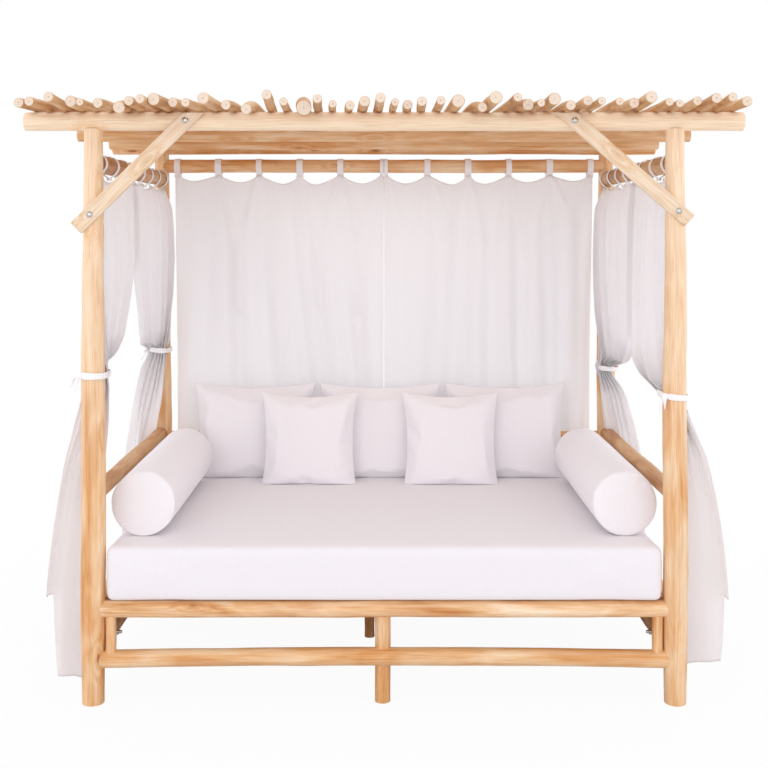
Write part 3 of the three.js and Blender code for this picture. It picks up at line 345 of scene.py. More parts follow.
def branch_tree():
    inputs = (
        ("Lines", "Geometry"), ("Sides", "Int", 32), ("Step", "Float", 0.012), ("Wander", "Float", 0.003),
        ("Lumps", "Float", 0.0025), ("Rim", "Float", 0.002), ("Seed", "Float", 0.0),
        ("Wood", "Material"), ("Sawn End", "Material"),
    )
    tree, given = geometry_tree("peeled_branch", inputs, "Branches")
    # The line: smoothed, cut into even steps, and bent a little between its ends
    line = geometry(tree, "MeshToCurve", {"Mesh": given["Lines"]})
    smooth = geometry(tree, "CurveSplineType", {"Curve": line}, spline_type="CATMULL_ROM")
    even = geometry(tree, "ResampleCurve", {"Curve": smooth, "Length": given["Step"]}, mode="LENGTH")
    run = add(tree, "GeometryNodeSplineParameter").outputs
    number = maths(tree, "ADD", named(tree, "number"), given["Seed"])
    apart = maths(tree, "MULTIPLY", number, 3.71)
    place = add(tree, "ShaderNodeCombineXYZ", {"X": run["Length"], "Y": apart, "Z": apart}).outputs[0]
    bend = add(tree, "ShaderNodeTexNoise", {"Vector": place, "Scale": 2.2, "Detail": 1.0}).outputs["Color"]
    centred = vectors(tree, "SUBTRACT", bend, (0.5, 0.5, 0.5))
    rest = maths(tree, "SUBTRACT", 1.0, run["Factor"])
    belly = maths(tree, "MULTIPLY", run["Factor"], rest)
    reach = maths(tree, "MULTIPLY", belly, given["Wander"])
    far = maths(tree, "MULTIPLY", reach, 16.0)
    drift = scaled_by(tree, centred, far)
    bent = geometry(tree, "SetPosition", {"Geometry": even, "Offset": drift})
    bent = stored(tree, bent, "along", run["Length"])
    # The skin: a circle swept along the line
    sides = {"Resolution": given["Sides"], "Radius": 1.0}
    ring = geometry(tree, "CurvePrimitiveCircle", sides)
    circle = stored(tree, ring, "rim", geometry(tree, "InputPosition"), "FLOAT_VECTOR")
    girth = named(tree, "girth")
    sweep = {"Curve": bent, "Profile Curve": circle, "Scale": girth, "Fill Caps": True}
    skin = geometry(tree, "CurveToMesh", sweep)
    rim = scaled_by(tree, named(tree, "rim", "FLOAT_VECTOR"), girth)
    far_along = maths(tree, "ADD", named(tree, "along"), apart)
    lengthwise = add(tree, "ShaderNodeCombineXYZ", {"Z": far_along}).outputs[0]
    own = vectors(tree, "ADD", rim, lengthwise)
    skin = stored(tree, skin, "grain", own, "FLOAT_VECTOR")
    # Lumps and hollows, longer along the branch than across it
    grain = named(tree, "grain", "FLOAT_VECTOR")
    long_lumps = vectors(tree, "MULTIPLY", grain, (26, 26, 7))
    swell = noise_in(tree, long_lumps, 1.0)
    rise = maths(tree, "SUBTRACT", swell, 0.5)
    height = maths(tree, "MULTIPLY", rise, given["Lumps"])
    outward = scaled_by(tree, geometry(tree, "InputNormal"), height)
    corners = add(tree, "GeometryNodeInputMeshFaceNeighbors").outputs["Vertex Count"]
    sawn = add(tree, "FunctionNodeCompare", {"A": corners, "B": 4}, data_type="INT", operation="GREATER_THAN")
    sawn = sawn.outputs["Result"]
    lumpy = geometry(tree, "SetPosition", {"Geometry": skin, "Offset": outward})
    # Each sawn end is pushed out a little and drawn in, which rounds its rim
    rim = {"Mesh": lumpy, "Selection": sawn, "Offset Scale": given["Rim"]}
    pushed = add(tree, "GeometryNodeExtrudeMesh", rim).outputs
    tops = {"Geometry": pushed["Mesh"], "Selection": pushed["Top"], "Scale": 0.93}
    drawn = geometry(tree, "ScaleElements", tops)
    whole = geometry(tree, "RealizeInstances", {"Geometry": drawn})
    rounded = geometry(tree, "SetShadeSmooth", {"Geometry": whole, "Shade Smooth": True})
    flat = {"Geometry": rounded, "Selection": sawn, "Shade Smooth": False}
    flat_ends = geometry(tree, "SetShadeSmooth", flat)
    skinned = geometry(tree, "SetMaterial", {"Geometry": flat_ends, "Material": given["Wood"]})
    cut = {"Geometry": skinned, "Selection": sawn, "Material": given["Sawn End"]}
    add(tree, "NodeGroupOutput", {"Branches": geometry(tree, "SetMaterial", cut)})
    return tree


branches = branch_tree()
print("branch tree:", len(branches.nodes), "nodes")

# %% [markdown]
# A piece grown by a tree is baked to a plain mesh before it is used: the modifier's inputs are set by
# their identifiers, the evaluated object is copied to a new mesh, and the modifier goes with the
# object that held it.

# %% Baking a tree
def grown(name, source, tree, **inputs):
    """The object that a tree makes of a source mesh, with the tree's named inputs set."""
    holder = linked(name + "_source", source)
    modifier = holder.modifiers.new("grow", "NODES")
    modifier.node_group = tree
    identifiers = {item.name: item.identifier for item in tree.interface.items_tree if item.in_out == "INPUT"}
    for label, value in inputs.items():
        modifier[identifiers[label.replace("_", " ")]] = value
    ready = holder.evaluated_get(bpy.context.evaluated_depsgraph_get())
    mesh = bpy.data.meshes.new_from_object(ready)
    bpy.data.objects.remove(holder)
    mesh.name = name
    return linked(name, mesh)


def lines_mesh(lines):
    """Lines as one mesh of edges. Each line is (points, radii, number)."""
    points, edges, girths, numbers = [], [], [], []
    for places, radii, number in lines:
        first = len(points)
        points += [tuple(p) for p in places]
        edges += [(first + i, first + i + 1) for i in range(len(places) - 1)]
        girths += list(radii)
        numbers += [float(number)] * len(places)
    mesh = bpy.data.meshes.new("lines")
    mesh.from_pydata(points, edges, [])
    for name, values in (("girth", girths), ("number", numbers)):
        mesh.attributes.new(name, "FLOAT", "POINT").data.foreach_set("value", values)
    return mesh


def grow_log(name, points, radii, number, nodes, wander=0.003, lumps=0.0025, wood=log_wood):
    """One log of peeled teak, which stands for its CAD nodes."""
    piece = grown(name, lines_mesh([(points, radii, number)]), branches,
                  Wander=wander, Lumps=lumps, Wood=wood, Sawn_End=end_wood)
    return settle(piece, "teak_logs", *nodes)

# %% [markdown]
# ## The frame's logs
# Each log's line and radius come from its CAD node's box, so the dressed frame has the frame's sizes.
# A rail runs from post to post and its ends stay inside them. The posts taper to a saddle under the
# roof beams, so their radii are given at four heights.

# %% Logs along X, Y and Z
POST_Y = 0.6  # from the middle plane to the posts' axes
POST_HEIGHT = 1.95
AXES = {"x": 0, "y": 1, "z": 2}


def log_line(node, axis, bow=0.0, steps=9):
    """Points and radius of the straight log that fills a node's box, bowed up in the middle."""
    low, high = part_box(node)
    along = AXES[axis]
    others = [i for i in range(3) if i != along]
    radius = min(high[i] - low[i] for i in others) / 2
    middle = (low + high) / 2
    points = []
    for step in range(steps):
        share = step / (steps - 1)
        point = middle.copy()
        point[along] = low[along] + (high[along] - low[along]) * share
        point.z += bow * (math.sin(math.pi * share) - 0.5)
        points.append(point)
    return points, radius


RAILS = {
    "front_seat_rail": ("x", 0), "rear_seat_rail": ("x", 0),
    "front_lower_rail": ("x", 0.009), "rear_lower_rail": ("x", 0.009),
    "back_rail": ("x", 0), "rear_curtain_rail": ("x", 0), "centre_beam": ("x", 0),
    "left_seat_rail": ("y", 0), "right_seat_rail": ("y", 0),
    "left_lower_rail": ("y", 0), "right_lower_rail": ("y", 0),
    "left_arm_rail": ("y", 0), "right_arm_rail": ("y", 0),
    "left_curtain_rail": ("y", 0), "right_curtain_rail": ("y", 0),
    "front_roof_beam": ("x", 0), "rear_roof_beam": ("x", 0),
    "middle_purlin": ("x", 0), "rear_purlin": ("x", 0),
    "left_stub": ("z", 0), "right_stub": ("z", 0), "centre_leg": ("z", 0),
}
# The rails under and beside the seat and the curtain rails get the darker teak, which is painted shade.
WOODS = {
    "front_roof_beam": beam_wood, "front_seat_rail": streaked_wood,
    "left_arm_rail": painted_shade_wood, "right_arm_rail": painted_shade_wood,
    "left_curtain_rail": painted_shade_wood, "right_curtain_rail": painted_shade_wood, "rear_lower_rail": painted_shade_wood,
    "left_lower_rail": painted_deep_shade_wood, "right_lower_rail": painted_deep_shade_wood, "centre_leg": painted_deep_shade_wood,
}
RADIUS_SHARES = [0.98, 1.0, 0.97, 0.99, 0.96, 1.0, 0.98, 0.99, 0.97]
for number, (node, (axis, bow)) in enumerate(RAILS.items()):
    points, radius = log_line(node, axis, bow)
    radii = [radius * RADIUS_SHARES[(i + number) % len(RADIUS_SHARES)] for i in range(len(points))]
    grow_log(node + "_log", points, radii, number, [node], wood=WOODS.get(node, log_wood))
print(len(RAILS), "rails and beams")

# %% Posts and the middle leg
POST_RADII = ((0.0, 0.037), (0.4, 0.042), (1.1, 0.040), (POST_HEIGHT, 0.031))
for number, corner in enumerate(("front_left", "front_right", "rear_left", "rear_right")):
    low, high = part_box(corner + "_post")
    foot_x, foot_y = (low.x + high.x) / 2, math.copysign(POST_Y, low.y)
    points = [Vector((foot_x, foot_y, POST_HEIGHT * i / 12)) for i in range(13)]
    heights, sizes = zip(*POST_RADII)
    radii = [float(np.interp(p.z, heights, sizes)) for p in points]
    # The front posts get the teak with painted light, paler towards the top.
    grow_log(corner + "_post_log", points, radii, 40 + number, [corner + "_post"], wander=0.004, lumps=0.003,
             wood=painted_top_light_wood if low.y < 0 else log_wood)

low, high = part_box("front_middle_leg")
leg_radius = (high.x - low.x) / 2
leg_x, leg_y = (low.x + high.x) / 2, high.y - leg_radius
points = [Vector((leg_x, leg_y, high.z * i / 5)) for i in range(6)]
grow_log("front_middle_leg_log", points, [leg_radius] * 6, 51, ["front_middle_leg"], wander=0.001)
print("posts and legs")

# %% [markdown]
# ## Roof sticks
# Forty-six thin branches lie side by side across the roof beams. No two are as thick, and each front
# tip strays a little from its place. The CAD model holds them in four groups, and here each is a
# branch of its own, all grown by one run of the same tree. The shares repeat those of the CAD source.

# %% Sticks
STICK_SPACING = 0.0527
STICK_RADIUS = 0.017
ROOF_DEPTH = 1.68
BEAM_TOP = 2.009
STICK_THICKNESS = (
    0.94, 0.87, 0.94, 1.09, 0.7, 0.96, 1.17, 0.94, 0.87, 1.17, 0.94, 0.81, 1.13, 0.94, 1.04, 0.94,
    0.79, 1.5, 0.87, 0.75, 0.85, 1.04, 0.94, 0.75, 0.9, 0.9, 0.85, 1.23, 0.94, 1.23, 0.85, 1.13,
    0.75, 1.19, 0.94, 0.94, 0.75, 0.75, 1, 1.13, 0.75, 0.75, 0.85, 0.94, 0.85, 0.98,
)
STICK_DRIFT = (
    0, -0.02, -0.03, 0.05, -0.03, -0.1, 0.08, -0.22, -0.31, -0.6, -0.61, -0.6, -0.62, -0.3, 0, 0.38,
    0.34, 0.52, 0.43, 0.34, 0.38, 0.3, 0.28, 0.17, -0.05, -0.21, -0.02, 0.08, 0.55, 0.27, 0.66, 0.42,
    0.05, -0.04, 0.04, 0.05, -0.31, -0.1, 0, -0.22, 0.03, -0.22, -0.21, -0.36, -0.19, 0,
)
STICK_DROOP = (
    0.3, 0.4, -0.7, 0, 0.3, 0.4, 1.1, -0.1, -0.2, 0, 0, 0.5, -0.3, 0.6, 1.5, -0.9, 0.1, 1.1, -0.3, 0.5,
    0.7, 0.1, -0.3, 0.2, 0.5, 0.3, -0.2, 0.1, 1.2, 0, -0.8, 0.6, 0.5, -0.1, 0.7, -0.1, 0.2, 0, 0.2, -0.3,
    0, 0.1, -0.2, -0.2, -0.8, -0.1,
)
STICK_FRONT = (0.93, 1, 0.96, 0.9, 0.98, 0.94, 0.91)
STICK_REAR = (0.97, 0.92, 0.99, 1, 0.95, 0.9)


def stick_line(index):
    """One stick's points and radii, from its front tip to its rear tip."""
    count = len(STICK_THICKNESS)
    radius = STICK_RADIUS * STICK_THICKNESS[index]
    even = (index - (count - 1) / 2) * STICK_SPACING
    drift = STICK_SPACING * STICK_DRIFT[index]
    rear_drift = STICK_SPACING * STICK_DRIFT[(index + 5) % count] * 0.4
    taper = 0.12 if index % 2 else -0.06
    front, rear = -ROOF_DEPTH / 2 * STICK_FRONT[index % 7], ROOF_DEPTH / 2 * STICK_REAR[index % 6]
    stations = (
        (front, drift, radius * STICK_DROOP[index], 0), (-POST_Y, drift / 2, 0, 0), (-0.3, 0, 0, 0.4),
        (0.0, 0.0, 0, 0.5), (0.465, 0, 0, 0.8), (rear, rear_drift, 0, 1),
    )
    points, radii = [], []
    for y, aside, droop, share in stations:
        girth = radius * (1 - taper * share)
        points.append(Vector((even + aside, y, BEAM_TOP + girth - droop)))
        radii.append(girth)
    return points, radii, index


stick_lines = [stick_line(index) for index in range(len(STICK_THICKNESS))]
sticks = grown("canopy_sticks", lines_mesh(stick_lines), branches, Sides=18, Step=0.02, Wander=0.006,
               Lumps=0.0045, Rim=0.0012, Seed=100.0, Wood=stick_wood, Sawn_End=end_wood)
settle(sticks, "canopy_sticks", *[f"canopy_sticks_{group}" for group in range(1, 5)])
print(len(stick_lines), "sticks,", len(sticks.data.polygons), "faces")

# %% [markdown]
# ## Braces
# Two flat-sawn boards brace the front. Each runs from the post up to the roof beam and is let into both
# by a few millimetres. The two bolts of a brace give its line. The board is drawn as an outline, pushed
# out to its thickness and its edges are softened as sanding leaves them.

# %% Braces
# Painted light here too: the boards turn a little paler towards the top.
board_wood = peeled_teak("sawn_teak_board", "#e9d0b2", "#dcb991", "#f3e3cf", "#c9a57c",
                         roughness=0.7, painted_top_light=0.3)
BRACE_WIDTH = 0.050
BRACE_TAILS = {"left": 0.066, "right": 0.050}  # past the lower bolt
BRACE_TOP = BEAM_TOP - 0.007


def rounded_slab(name, outline, front, back, along, edge=0.0035):
    """A board between two planes across Y, with softened edges and grain along a direction."""
    form = bmesh.new()
    face = form.faces.new([form.verts.new((x, front, z)) for x, z in outline])
    pushed = bmesh.ops.extrude_face_region(form, geom=[face])["geom"]
    bmesh.ops.translate(form, verts=[v for v in pushed if isinstance(v, bmesh.types.BMVert)],
                        vec=(0, back - front, 0))
    bmesh.ops.recalc_face_normals(form, faces=form.faces)
    bmesh.ops.bevel(form, geom=form.edges[:], offset=edge, segments=3, profile=0.5, affect="EDGES")
    mesh = mesh_of(form, name, smooth=True)
    across = Vector((along.z, 0, -along.x))
    middle = Vector((outline[0][0], front, outline[0][1]))
    set_grain(mesh, [((v.co - middle).dot(across), v.co.y, (v.co - middle).dot(along))
                     for v in mesh.vertices])
    return linked(name, mesh, board_wood)


def middle_of(node):
    return sum(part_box(node), Vector()) / 2


for side, tail_length in BRACE_TAILS.items():
    low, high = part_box(side + "_brace")
    lower, upper = middle_of(side + "_brace_lower_bolt"), middle_of(side + "_brace_upper_bolt")
    along = upper - lower
    along.y = 0
    along.normalize()
    across = Vector((-along.z, 0, along.x))
    tail = lower - along * tail_length
    ends = [tail + across * BRACE_WIDTH / 2, tail - across * BRACE_WIDTH / 2]
    tops = [end + along * ((BRACE_TOP - end.z) / along.z) for end in reversed(ends)]
    outline = [(p.x, p.z) for p in (*ends, *tops)]
    settle(rounded_slab(side + "_brace_board", outline, low.y, high.y, along), "teak_logs", side + "_brace")
print("braces", round(BRACE_WIDTH * 1000), "mm wide")

# %% [markdown]
# ## Bolts
# Six bolts show: two polished domes on each brace, and one threaded end with its nut on each lower
# side rail. A dome is a half profile spun round its axis. Geometry Nodes then set one dome on each
# bolt's place.

# %% Bolt steel and a spun form
def polished_steel():
    """Stainless steel, turned and polished: bright, with faint turning marks."""
    material, tree, shader = new_material("polished_stainless_steel")
    marks = noise_in(tree, add(tree, "ShaderNodeTexCoord").outputs["Object"], 900.0)
    rough = ranged(tree, marks, start=0.16, end=0.3)
    connect(tree, shader, {"Base Color": linear("#c9c8c4"), "Metallic": 1.0, "Roughness": rough})
    return material


def spun(name, profile, sides=24):
    """A mesh of revolution about Z from (radius, height) points, closed at both ends."""
    form = bmesh.new()
    rings = []
    for radius, height in profile:
        turns = [2 * math.pi * i / sides for i in range(sides)]
        rings.append([form.verts.new((radius * math.cos(t), radius * math.sin(t), height)) for t in turns])
    join_rings(form, rings)
    return mesh_of(form, name, smooth=True)


steel = polished_steel()
dome_profile = [(0.0113, 0.0), (0.0113, 0.0012), (0.0104, 0.0022)]
dome_profile += [(0.0094 * math.cos(a), 0.0022 + 0.0046 * math.sin(a)) for a in (0.0, 0.35, 0.7, 1.05, 1.35)]
dome_mesh = spun("dome_form", dome_profile)
print("dome", len(dome_mesh.polygons), "faces")

# %% Setting bolts on their places
def set_on_points_tree():
    inputs = (("Places", "Geometry"), ("Form", "Object"), ("Size", "Float", 1.0), ("Finish", "Material"))
    tree, given = geometry_tree("set_on_points", inputs, "Set")
    form = add(tree, "GeometryNodeObjectInfo", {"Object": given["Form"]}).outputs["Geometry"]
    turn = add(tree, "FunctionNodeAlignRotationToVector", {"Vector": named(tree, "facing", "FLOAT_VECTOR")})
    copies = {"Points": given["Places"], "Instance": form,
              "Rotation": turn.outputs[0], "Scale": given["Size"]}
    real = geometry(tree, "RealizeInstances", {"Geometry": geometry(tree, "InstanceOnPoints", copies)})
    done = geometry(tree, "SetMaterial", {"Geometry": real, "Material": given["Finish"]})
    add(tree, "NodeGroupOutput", {"Set": done})
    return tree


def points_mesh(places, facings):
    mesh = bpy.data.meshes.new("places")
    mesh.from_pydata([tuple(p) for p in places], [], [])
    mesh.attributes.new("facing", "FLOAT_VECTOR", "POINT").data.foreach_set("vector", np.ravel(facings))
    return mesh


def set_forms(name, form_mesh, places, facings, finish):
    """Copies of one form on several places, as one piece."""
    form = linked(name + "_form", form_mesh)
    piece = grown(name, points_mesh(places, facings), set_on_points, Form=form, Finish=finish)
    bpy.data.objects.remove(form)
    return piece


set_on_points = set_on_points_tree()
dome_nodes = [f"{side}_brace_{level}_bolt" for side in ("left", "right") for level in ("lower", "upper")]
brace_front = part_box("left_brace")[0].y
dome_places = [(middle_of(node).x, brace_front, middle_of(node).z) for node in dome_nodes]
domes = set_forms("brace_bolt_domes", dome_mesh, dome_places, [(0, -1, 0)] * len(dome_places), steel)
settle(domes, "steel", *dome_nodes)
nut_places, nut_facings = [], []
for side, sign in (("left", -1), ("right", 1)):
    spot = middle_of(side + "_rail_bolt")
    rail_low, rail_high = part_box(side + "_lower_rail")
    spot.x = rail_high.x if sign < 0 else rail_low.x
    nut_places.append(spot)
    nut_facings.append((-sign, 0, 0))
nut_profile = [(0.0095, -0.002), (0.0105, 0.0), (0.0105, 0.007), (0.0088, 0.009), (0.0062, 0.0092)]
nut_profile += [(0.0062, 0.017), (0.0052, 0.019)]
nuts = set_forms("rail_bolt_nuts", spun("nut_form", nut_profile, sides=12), nut_places, nut_facings, steel)
settle(nuts, "steel", "left_rail_bolt", "right_rail_bolt")
print(len(dome_places), "domes and", len(nut_places), "nuts")

# %% [markdown]
# ## Slats
# Ten boards on two battens carry the mattress. They show from below and from behind. One board with
# softened edges is repeated along the deck by the same tree that sets the bolts.

# %% Slat deck
def board_mesh(name, size, edge, long_axis):
    """A board with softened edges, centred on its own middle, with its grain along long_axis."""
    form = bmesh.new()
    bmesh.ops.create_cube(form, size=1.0)
    bmesh.ops.scale(form, vec=size, verts=form.verts)
    bmesh.ops.bevel(form, geom=form.edges[:], offset=edge, segments=2, profile=0.5, affect="EDGES")
    mesh = mesh_of(form, name)
    order = [i for i in range(3) if i != long_axis] + [long_axis]
    set_grain(mesh, [[v.co[i] for i in order] for v in mesh.vertices])
    return mesh


SLATS = 10
SLAT_WIDTH, SLAT_THICKNESS, BATTEN_WIDTH = 0.1, 0.018, 0.03
deck_low, deck_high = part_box("slat_deck")
slat_length = deck_high.y - deck_low.y - 0.004
first_slat = deck_low.x + SLAT_WIDTH / 2
slat_step = (deck_high.x - deck_low.x - SLAT_WIDTH) / (SLATS - 1)
slat_height = deck_high.z - SLAT_THICKNESS / 2
slat_form = board_mesh("slat_form", (SLAT_WIDTH, slat_length, SLAT_THICKNESS), 0.002, 1)
slat_places = [(first_slat + slat_step * i, 0, slat_height) for i in range(SLATS)]
slats = set_forms("seat_slats", slat_form, slat_places, [(0, 0, 1)] * SLATS, stick_wood)
batten_depth = deck_high.z - SLAT_THICKNESS - deck_low.z
batten_form = board_mesh("batten_form", (deck_high.x - deck_low.x, BATTEN_WIDTH, batten_depth), 0.002, 0)
batten_lines = (deck_low.y + BATTEN_WIDTH / 2, deck_high.y - BATTEN_WIDTH / 2)
batten_places = [(0, y, deck_low.z + batten_depth / 2) for y in batten_lines]
battens = set_forms("seat_battens", batten_form, batten_places, [(0, 0, 1)] * 2, stick_wood)
settle(slats, "teak_logs", "slat_deck")
settle(battens, "teak_logs")
print(SLATS, "slats, one each", round(slat_step * 1000), "mm")

# %% [markdown]
# ## White cotton canvas
# The mattress, the bolsters and the cushions have plain woven covers of white cotton. White cloth is
# never pure white: it is a warm pale grey that clips nowhere, with a soft sheen where it turns away.
# The weave is a plain one with threads about half a millimetre apart. That is too fine to show in the
# picture, so it is drawn three times as coarse, as a bump that reads Object coordinates.

# %% Canvas and voile
def weave(tree, place, spacing):
    """Height of a plain weave: two sets of threads at right angles, on the three planes at once."""
    scaled = scaled_by(tree, place, 2 * math.pi / spacing)
    split = add(tree, "ShaderNodeSeparateXYZ", {0: vectors(tree, "SINE", scaled)}).outputs
    planes = [maths(tree, "MULTIPLY", split[a], split[b]) for a, b in ("XZ", "YZ", "XY")]
    return maths(tree, "ADD", maths(tree, "ADD", planes[0], planes[1]), planes[2])


def woven_cotton(name, colour, slub, spacing, crease_size, crease_depth, through=0.0):
    """Plain woven cotton: matt, warm white, with a fine weave, slubs and soft creases."""
    material, tree, shader = new_material(name)
    place = add(tree, "ShaderNodeTexCoord").outputs["Object"]
    threads = weave(tree, place, spacing)
    slubs = noise_in(tree, place, 140.0, 3.0)
    tone = mixed(tree, 1.0, linear(colour), ramp(tree, slubs, ((0.3, slub), (0.6, "#ffffff"))), "MULTIPLY")
    creases = noise_in(tree, place, 1 / crease_size, distortion=0.6)
    relief = bump(tree, threads, spacing / 8, 0.03, bump(tree, creases, crease_depth, 0.6))
    connect(tree, shader, {"Base Color": tone, "Roughness": 0.92, "IOR": 1.45, "Normal": relief,
                           "Sheen Weight": 0.1, "Sheen Roughness": 0.5})
    if through:
        behind = add(tree, "ShaderNodeBsdfTranslucent", {"Color": linear(colour), "Normal": relief})
        mix = add(tree, "ShaderNodeMixShader", {0: through, 1: shader.outputs[0], 2: behind.outputs[0]})
        tree.links.new(mix.outputs[0], tree.nodes["Material Output"].inputs["Surface"])
    return material


canvas = woven_cotton("cotton_canvas_cover", "#f3f0f3", "#fdfcfd", 0.0016, 0.09, 0.003)
voile = woven_cotton("cotton_voile_curtain", "#fbfafb", "#fdfcfd", 0.0014, 0.12, 0.002, through=0.5)
foam_cover = woven_cotton("cotton_mattress_cover", "#eeebee", "#fdfcfd", 0.0016, 0.09, 0.003)
tape = woven_cotton("cotton_tape_tab", "#f7f5f6", "#fdfcfc", 0.0014, 0.05, 0.001)
print("cotton:", canvas.name, voile.name, foam_cover.name, tape.name)

# %% [markdown]
# ## Filling a cover
# A cushion is two flat cloths sewn together at the edges and filled. The same thing works here: the two
# cloths start almost flat, a cloth simulation blows them up for twenty frames, and the cloth finds its
# own crowns, puckers and drawn-in sides. The result is read back into the mesh, so no simulation stays
# on the piece, and it is then scaled to the size that the CAD model holds free for it.

# %% Cloth that is blown up
FRAMES = 20


def coordinates(mesh):
    flat = np.empty(len(mesh.vertices) * 3)
    mesh.vertices.foreach_get("co", flat)
    return flat.reshape(-1, 3)


def set_coordinates(mesh, places):
    mesh.vertices.foreach_set("co", places.astype(np.float32).ravel())
    mesh.update()


def blown_up(mesh, pressure, cap, slack=0.0, bending=0.4):
    """The mesh's coordinates after its cloth is blown up. No point moves further than cap."""
    start = coordinates(mesh)
    holder = linked("cover", mesh)
    modifier = holder.modifiers.new("fill", "CLOTH")
    cloth = modifier.settings
    cloth.quality = 5
    cloth.mass = 0.2
    cloth.tension_stiffness = cloth.compression_stiffness = 12
    cloth.shear_stiffness = 6
    cloth.bending_stiffness = bending
    cloth.use_pressure = True
    cloth.uniform_pressure_force = pressure
    cloth.shrink_min = -slack
    cloth.effector_weights.gravity = 0
    modifier.collision_settings.use_collision = False
    modifier.point_cache.frame_start, modifier.point_cache.frame_end = 1, FRAMES
    for frame_number in range(1, FRAMES + 1):
        scene.frame_set(frame_number)
    filled = coordinates(holder.evaluated_get(bpy.context.evaluated_depsgraph_get()).data)
    scene.frame_set(1)
    bpy.data.objects.remove(holder)
    move = filled - start
    length = np.linalg.norm(move, axis=1, keepdims=True)
    return start + move * np.minimum(1, cap / np.maximum(length, 1e-9))


def fitted(places, low, high):
    """Points moved and scaled so that they fill a box."""
    have_low, have_high = places.min(0), places.max(0)
    return (places - have_low) / (have_high - have_low) * (np.array(high) - low) + low


def subdivided(piece):
    smooth = piece.modifiers.new("smooth", "SUBSURF")
    smooth.levels = smooth.render_levels = 1
    return piece


def soft_piece(name, mesh, node, body, slot, material):
    """A filled piece that stands for a CAD node and rides on its body."""
    mesh.shade_smooth()
    piece = settle(subdivided(linked(name, mesh, material)), slot, node, body=body)
    return piece


print("covers are filled in", FRAMES, "frames")

# %% [markdown]
# ## Cushions
# Five square cushions lean back on the mattress: three behind and two before them. Each cover is a
# grid of small squares, twice, joined at the rim. The corners stay pointed, because no filling reaches
# them, and the middle of each side is drawn in.

# %% Cushion covers
def cushion_mesh(width, height, thickness, seed, cells=40):
    """A square cushion in its own plane: X across, Y up, Z out of its face."""
    places, faces, number = [], [], {}

    def corner(column, row, side):
        u, v = 2 * column / cells - 1, 2 * row / cells - 1
        rim = abs(u) == 1 or abs(v) == 1
        key = (column, row, 0 if rim else side)
        if key not in number:
            crown = max(0.0, (1 - u**4) * (1 - v**4)) ** 0.7
            uneven = noise.noise((u * 2.3, v * 2.3, seed + side)) * 0.06
            number[key] = len(places)
            height_off = 0 if rim else side * thickness * (0.3 + uneven) * crown
            places.append((width / 2 * u, height / 2 * v, height_off))
        return number[key]

    for column in range(cells):
        for row in range(cells):
            square = [(column, row), (column + 1, row), (column + 1, row + 1), (column, row + 1)]
            faces.append([corner(c, r, 1) for c, r in square])
            faces.append([corner(c, r, -1) for c, r in reversed(square)])
    mesh = bpy.data.meshes.new("cushion")
    mesh.from_pydata(places, [], faces)
    return mesh


def evened_in(places, flat, width, height, share=0.11):
    """Draws the seam to an even curve, with its middles in by a share, and eases the cloth beside it."""
    u, v = flat[:, 0] / (width / 2), flat[:, 1] / (height / 2)
    rise = np.where(v > 0, share, 0.3 * share)  # the bottom seam is pressed straight by the mattress
    seam_x, seam_y = width / 2 * u * (1 - share * (1 - v**2)), height / 2 * v * (1 - rise * (1 - u**2))
    to_rim = np.maximum(np.abs(u), np.abs(v))
    drawn = places.copy()
    drawn[:, :2] += (np.column_stack((seam_x, seam_y)) - places[:, :2]) * (to_rim**3)[:, None]
    drawn[:, 2] *= 1 - 0.9 * to_rim**24
    return drawn


CUSHION_HEIGHTS = {"back": 0.422, "front": 0.398}
CUSHION_THICKNESS = {"back": 0.118, "front": 0.116}
SEEDS = {"left_back": 0, "middle_back": 1, "right_back": 2, "left_front": 10, "right_front": 11}
LEAN = math.radians(13)
SUNK = 0.024  # so much of the cover would be below the mattress's top, and is pressed flat on it
FILL_SINKS = 0.11  # the filling settles low, by this share of half the height
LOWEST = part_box("mattress")[1].z + 0.0005  # just above the mattress


def cushion(place, seed):
    node, row = place + "_cushion", place.split("_")[1]
    low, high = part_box(node)
    width, height, thickness = high.x - low.x, CUSHION_HEIGHTS[row] + SUNK, CUSHION_THICKNESS[row]
    mesh = cushion_mesh(width, height, thickness, seed)
    flat = coordinates(mesh)
    places = blown_up(mesh, pressure=3.0, cap=thickness * 0.35, slack=0.04, bending=3.0)
    half = np.array((width, height, thickness)) / 2
    places = fitted(places, -half, half)
    places = evened_in(places, flat, width, height)
    depth = np.clip(-2 * places[:, 1] / height, 0, 1)
    places[:, 1] -= height / 2 * FILL_SINKS * np.sin(math.pi * depth)
    middle_y = (low.y + high.y) / 2 - SUNK / 2 * math.sin(LEAN)
    middle_z = high.z - height / 2 * math.cos(LEAN)
    up, out = (0, math.sin(LEAN), math.cos(LEAN)), (0, -math.cos(LEAN), math.sin(LEAN))
    leaned = np.outer(places[:, 0], (1, 0, 0)) + np.outer(places[:, 1], up) + np.outer(places[:, 2], out)
    leaned += ((low.x + high.x) / 2, middle_y, middle_z)
    leaned[:, 2] = np.maximum(leaned[:, 2], LOWEST)
    set_coordinates(mesh, leaned)
    soft_piece(node + "_cover", mesh, node, node + "_body", "cushion_cover", canvas)


for place, seed in SEEDS.items():
    cushion(place, seed)
print(len(SEEDS), "cushions")

# %% [markdown]
# ## Bolsters
# A bolster is a round roll with a flat round panel sewn into each end. The filling makes the panel
# swell a little and the seam pucker. It is flattened where it lies on the mattress.

# %% Bolster covers
BOLSTER_ENDS = (
    (0.0, 0.02), (0.0, 0.3), (0.002, 0.6), (0.006, 0.86), (0.015, 0.95), (0.036, 0.988), (0.09, 1.0),
)  # (distance from the end, ring's radius), both as shares of the radius
BOLSTER_ROUND = 64


